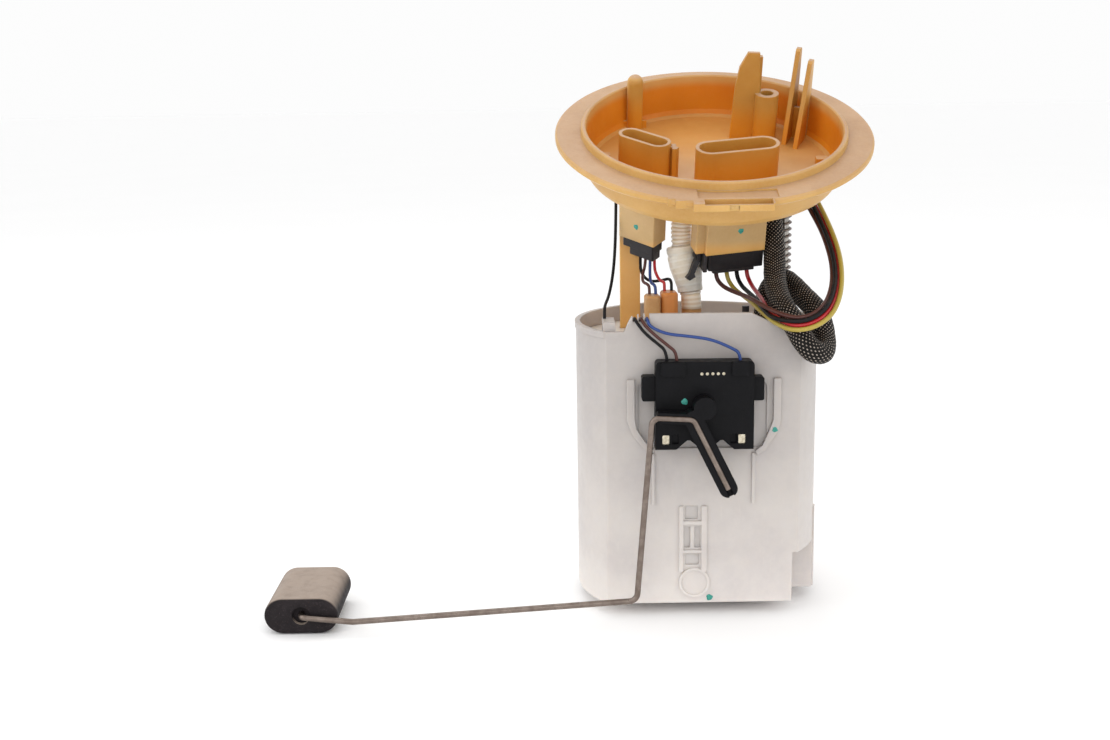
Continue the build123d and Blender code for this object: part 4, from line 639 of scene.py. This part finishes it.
def tube(name, centres, radii, sides, material, uv_of, caps=True, inner=None):
    """A mesh tube through centres. uv_of(turn, k) gives each corner's UV, turn from 0 to 1 round it and k the ring."""
    fr = frames(centres)
    bm = bmesh.new()
    layer = bm.loops.layers.uv.new("UVMap")

    def ring(k, radius):
        t, s, u = fr[k]
        return [bm.verts.new(centres[k] + (s * math.cos(a) + u * math.sin(a)) * radius) for a in [2 * math.pi * j / sides for j in range(sides)]]

    def skin(rings, flip=False):
        for k, (a, b) in enumerate(zip(rings, rings[1:])):
            for j in range(sides):
                q = (j + 1) % sides
                corner = [(a[j], j, k), (a[q], j + 1, k), (b[q], j + 1, k + 1), (b[j], j, k + 1)]
                if flip:
                    corner.reverse()
                f = bm.faces.new([c[0] for c in corner])
                f.smooth = True
                for l, c in zip(f.loops, corner):
                    l[layer].uv = uv_of(c[1] / sides, c[2])

    outer = [ring(k, radii[k]) for k in range(len(centres))]
    skin(outer)
    if inner is not None:
        bore = [ring(k, inner[k]) for k in range(len(centres))]
        skin(bore, True)
        for a, b, flip in ((outer[0], bore[0], True), (outer[-1], bore[-1], False)):
            for j in range(sides):
                q = (j + 1) % sides
                c = [a[j], a[q], b[q], b[j]]
                if flip:
                    c.reverse()
                bm.faces.new(c)
    elif caps:
        bm.faces.new(list(reversed(outer[0])))
        bm.faces.new(outer[-1])
    me = bpy.data.meshes.new(name)
    bm.to_mesh(me)
    bm.free()
    o = link_mesh(name, me)
    o.data.materials.append(material)
    return o


def lead(name, route, diameter, material, sides=14):
    line = spline_line(name, ROUTES[route], 10)
    s = arc(line)
    o = tube(name, line, [diameter / 2] * len(line), sides, material, lambda turn, k: (turn, s[k] / 0.01))
    return o, line


# thick leads of the right plug
LEAD_D, THIN_D, FEED_D, RETURN_D = 0.0021, 0.0015, 0.0105, 0.0105
THICK = {"lead_olive": ("olive", 0.2135), "lead_red": ("red", 0.2084), "lead_black": ("black_lead", 0.2084), "lead_brown": ("brown", 0.2047)}
for name, (key, length) in THICK.items():
    o, line = lead(name + "_wire", name, LEAD_D, MAT[key], 16)
    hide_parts(name)
    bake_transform(o)

THIN = {
    "side_lead": ("black_lead", 0.0895, "lead_black", (0.1400, 0.2040)),
    "pump_lead_brown": ("brown", 0.0392, "lead_brown", (0.1452, 0.1655)),
    "pump_lead_blue": ("blue", 0.0369, "lead_blue", (0.1452, 0.1650)),
    "pump_lead_red": ("red", 0.0347, "lead_red", (0.1452, 0.1645)),
    "pump_lead_black": ("black_lead", 0.0493, "lead_black", (0.1452, 0.1660)),
    "sender_lead_black": ("black_lead", 0.0493, "lead_black", None),
    "sender_lead_brown": ("brown", 0.0498, "lead_brown", None),
    "sender_lead_blue": ("blue", 0.0739, "lead_blue", None),
}
for name, (key, length, slot, bend) in THIN.items():
    o, line = lead(name + "_wire", name, THIN_D, MAT[key], 14)
    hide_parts(name)
    if bend:
        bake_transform(o)
    else:
        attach(o, "reservoir")

# feed hose: corrugated, with plain cuffs where it is pushed on
feed = spline_line("feed_hose", ROUTES["feed_hose"], 60)
feed_s = arc(feed)
RING = 0.0020


def corrugated(name, line, s, crest, valley, cuff, material, sides=36):
    total = s[-1]
    steps = int(total / RING * 10)
    centres, radii, at = [], [], []
    for i in range(steps + 1):
        d = total * i / steps
        centres.append(along(line, s, d))
        wave = 0.5 + 0.5 * math.cos(2 * math.pi * d / RING)
        wave = wave ** 0.7
        edge = min(1.0, max(0.0, (min(d, total - d) - cuff) / 0.0008))
        radii.append(valley + (crest - valley) * (wave * edge + 0.55 * (1 - edge)))
        at.append(d)
    return tube(name, centres, radii, sides, material, lambda turn, k: (turn, at[k] / RING))


o = corrugated("feed_hose_ribbed", feed, feed_s, FEED_D / 2, FEED_D / 2 - 0.00075, 0.006, MAT["corrugated"])
feed_piece = o
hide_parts("feed_hose")

# its coupling, a wide cup over the ribs that narrows to a plain cuff
c0, c1 = 0.0325, 0.0560
cs, cr, ci = [], [], []
profile = [(0.0, 0.0070), (0.0004, 0.0077), (0.0012, 0.0080), (0.0030, 0.0080), (0.0034, 0.0077), (0.0044, 0.0077), (0.0048, 0.0080), (0.0090, 0.0080),
           (0.0100, 0.0079), (0.0130, 0.0075), (0.0160, 0.0069), (0.0190, 0.0064), (0.0200, 0.0062), (0.0222, 0.0062), (0.0226, 0.0060), (0.0228, 0.0058)]
for k in range(58):
    d = 0.0228 * k / 57
    for (x0, y0), (x1, y1) in zip(profile, profile[1:]):
        if x0 <= d <= x1 + 1e-9:
            r = y0 + (y1 - y0) * (d - x0) / (x1 - x0)
            break
    cs.append(along(feed, feed_s, c0 + d))
    cr.append(r)
    ci.append(min(r - 0.0006, 0.0066 if d < 0.011 else 0.00560))
coupling = tube("hose_coupling_cup", cs, cr, 48, MAT["coupling"], lambda turn, k: (turn, 0.0228 * k / 57), inner=ci)
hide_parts("hose_coupling")
for o in (feed_piece, coupling):
    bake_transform(o)

# return hose: ribbed hose inside a black braided sleeve
back = spline_line("return_hose", ROUTES["return_hose"], 40)
back_s = arc(back)
inner_hose = corrugated("return_hose_ribbed", back, back_s, 0.0049, 0.0043, 0.005, MAT["corrugated"], 28)
STRANDS, PITCH_V = 17, 0.0020
n_rings = 420
s_from, s_to = 0.0020, back_s[-1] - 0.0020
centres, radii, at = [], [], []
for k in range(n_rings + 1):
    d = s_from + (s_to - s_from) * k / n_rings
    centres.append(along(back, back_s, d))
    end = min(d - s_from, s_to - d)
    r = RETURN_D / 2 + 0.00005 * math.sin(d * 900) + 0.00004 * math.sin(d * 2600 + 1.3)
    if end < 0.0016:
        r -= 0.00032 * (1 - end / 0.0016) ** 2
    radii.append(r)
    at.append(d)
sleeve = tube("return_hose_sleeve", centres, radii, 40, MAT["sleeve"], lambda turn, k: (turn * STRANDS + at[k] / PITCH_V, turn * STRANDS - at[k] / PITCH_V),
              inner=[r - 0.00025 for r in radii])
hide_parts("return_hose")
for o in (sleeve, inner_hose):
    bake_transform(o)

# ---------------------------------------------------------------- guide spring
SPRING = Vector((0.0457, 0.016, 0))
Z0, Z1, R, W = 0.1311 + 0.00056, 0.2000 - 0.00056, 0.00285, 0.00055
turns_total, closed = 22.6, 1.0
pts, steps = [], 28
count = int(turns_total * steps)
for i in range(count + 1):
    t = i / steps
    pitch_z = 2 * W * 1.02
    if t < closed:
        z = Z0 + pitch_z * t
    elif t > turns_total - closed:
        z = Z1 - pitch_z * (turns_total - t)
    else:
        f = (t - closed) / (turns_total - 2 * closed)
        z = (Z0 + pitch_z * closed) + (Z1 - Z0 - 2 * pitch_z * closed) * f
    pts.append(SPRING + Vector((R * math.cos(2 * math.pi * t), R * math.sin(2 * math.pi * t), z)))
coil = tube("guide_spring_coil", pts, [W] * len(pts), 10, MAT["spring"], lambda turn, k: (turn, k / steps))
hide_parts("guide_spring")
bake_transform(coil)


# ---------------------------------------------------------------- small details
def dab(name, at, normal, radius, body, seed):
    """A dab of marking paint: an uneven round blot, domed, lying on its face."""
    z = Vector(normal).normalized()
    x = z.orthogonal().normalized()
    y = z.cross(x)
    at = Vector(at)
    bm = bmesh.new()
    n, rings = 22, 4
    lobes = [0.10 * math.sin(3 * a + seed) + 0.06 * math.sin(5 * a + 2.1 * seed) for a in [2 * math.pi * j / n for j in range(n)]]
    top = bm.verts.new(at + z * 0.00022)
    prev = None
    for k in range(1, rings + 1):
        f = k / rings
        ring = []
        for j in range(n):
            a = 2 * math.pi * j / n
            rr = radius * f * (1 + lobes[j] * f)
            ring.append(bm.verts.new(at + x * rr * math.cos(a) + y * rr * math.sin(a) + z * (0.00022 * (1 - f ** 3) - (0.00004 if k == rings else 0))))
        for j in range(n):
            if prev is None:
                bm.faces.new((top, ring[j], ring[(j + 1) % n]))
            else:
                bm.faces.new((prev[j], ring[j], ring[(j + 1) % n], prev[(j + 1) % n]))
        prev = ring
    for f in bm.faces:
        f.smooth = True
    me = bpy.data.meshes.new(name)
    bm.to_mesh(me)
    bm.free()
    o = link_mesh(name, me)
    o.data.materials.append(MAT["paint"])
    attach(o, body)
    return o


def flat_normal(a, b):
    """A direction in the flange's plane as a direction in the frame."""
    return Vector((a, 0, 0)) + AX_B * b


dab("paint_low", (0.0034, -0.03702, 0.0090), (0, -1, 0), 0.0016, "reservoir", 0.4)
dab("paint_frame", (0.0333, -0.03892, 0.0918), (0, -1, 0), 0.0013, "reservoir", 1.9)
dab("paint_sender", (-0.0098, -0.04732, 0.1078), (0, -1, 0), 0.0015, "reservoir", 3.1)
dab("paint_left_box", on_flange(-36.41, -11.45, -44.7), flat_normal(-0.636, -0.772), 0.0014, "flange", 4.4)
dab("paint_right_box", on_flange(12.74, -24.34, -40.9), flat_normal(0.184, -0.983), 0.0014, "flange", 5.2)
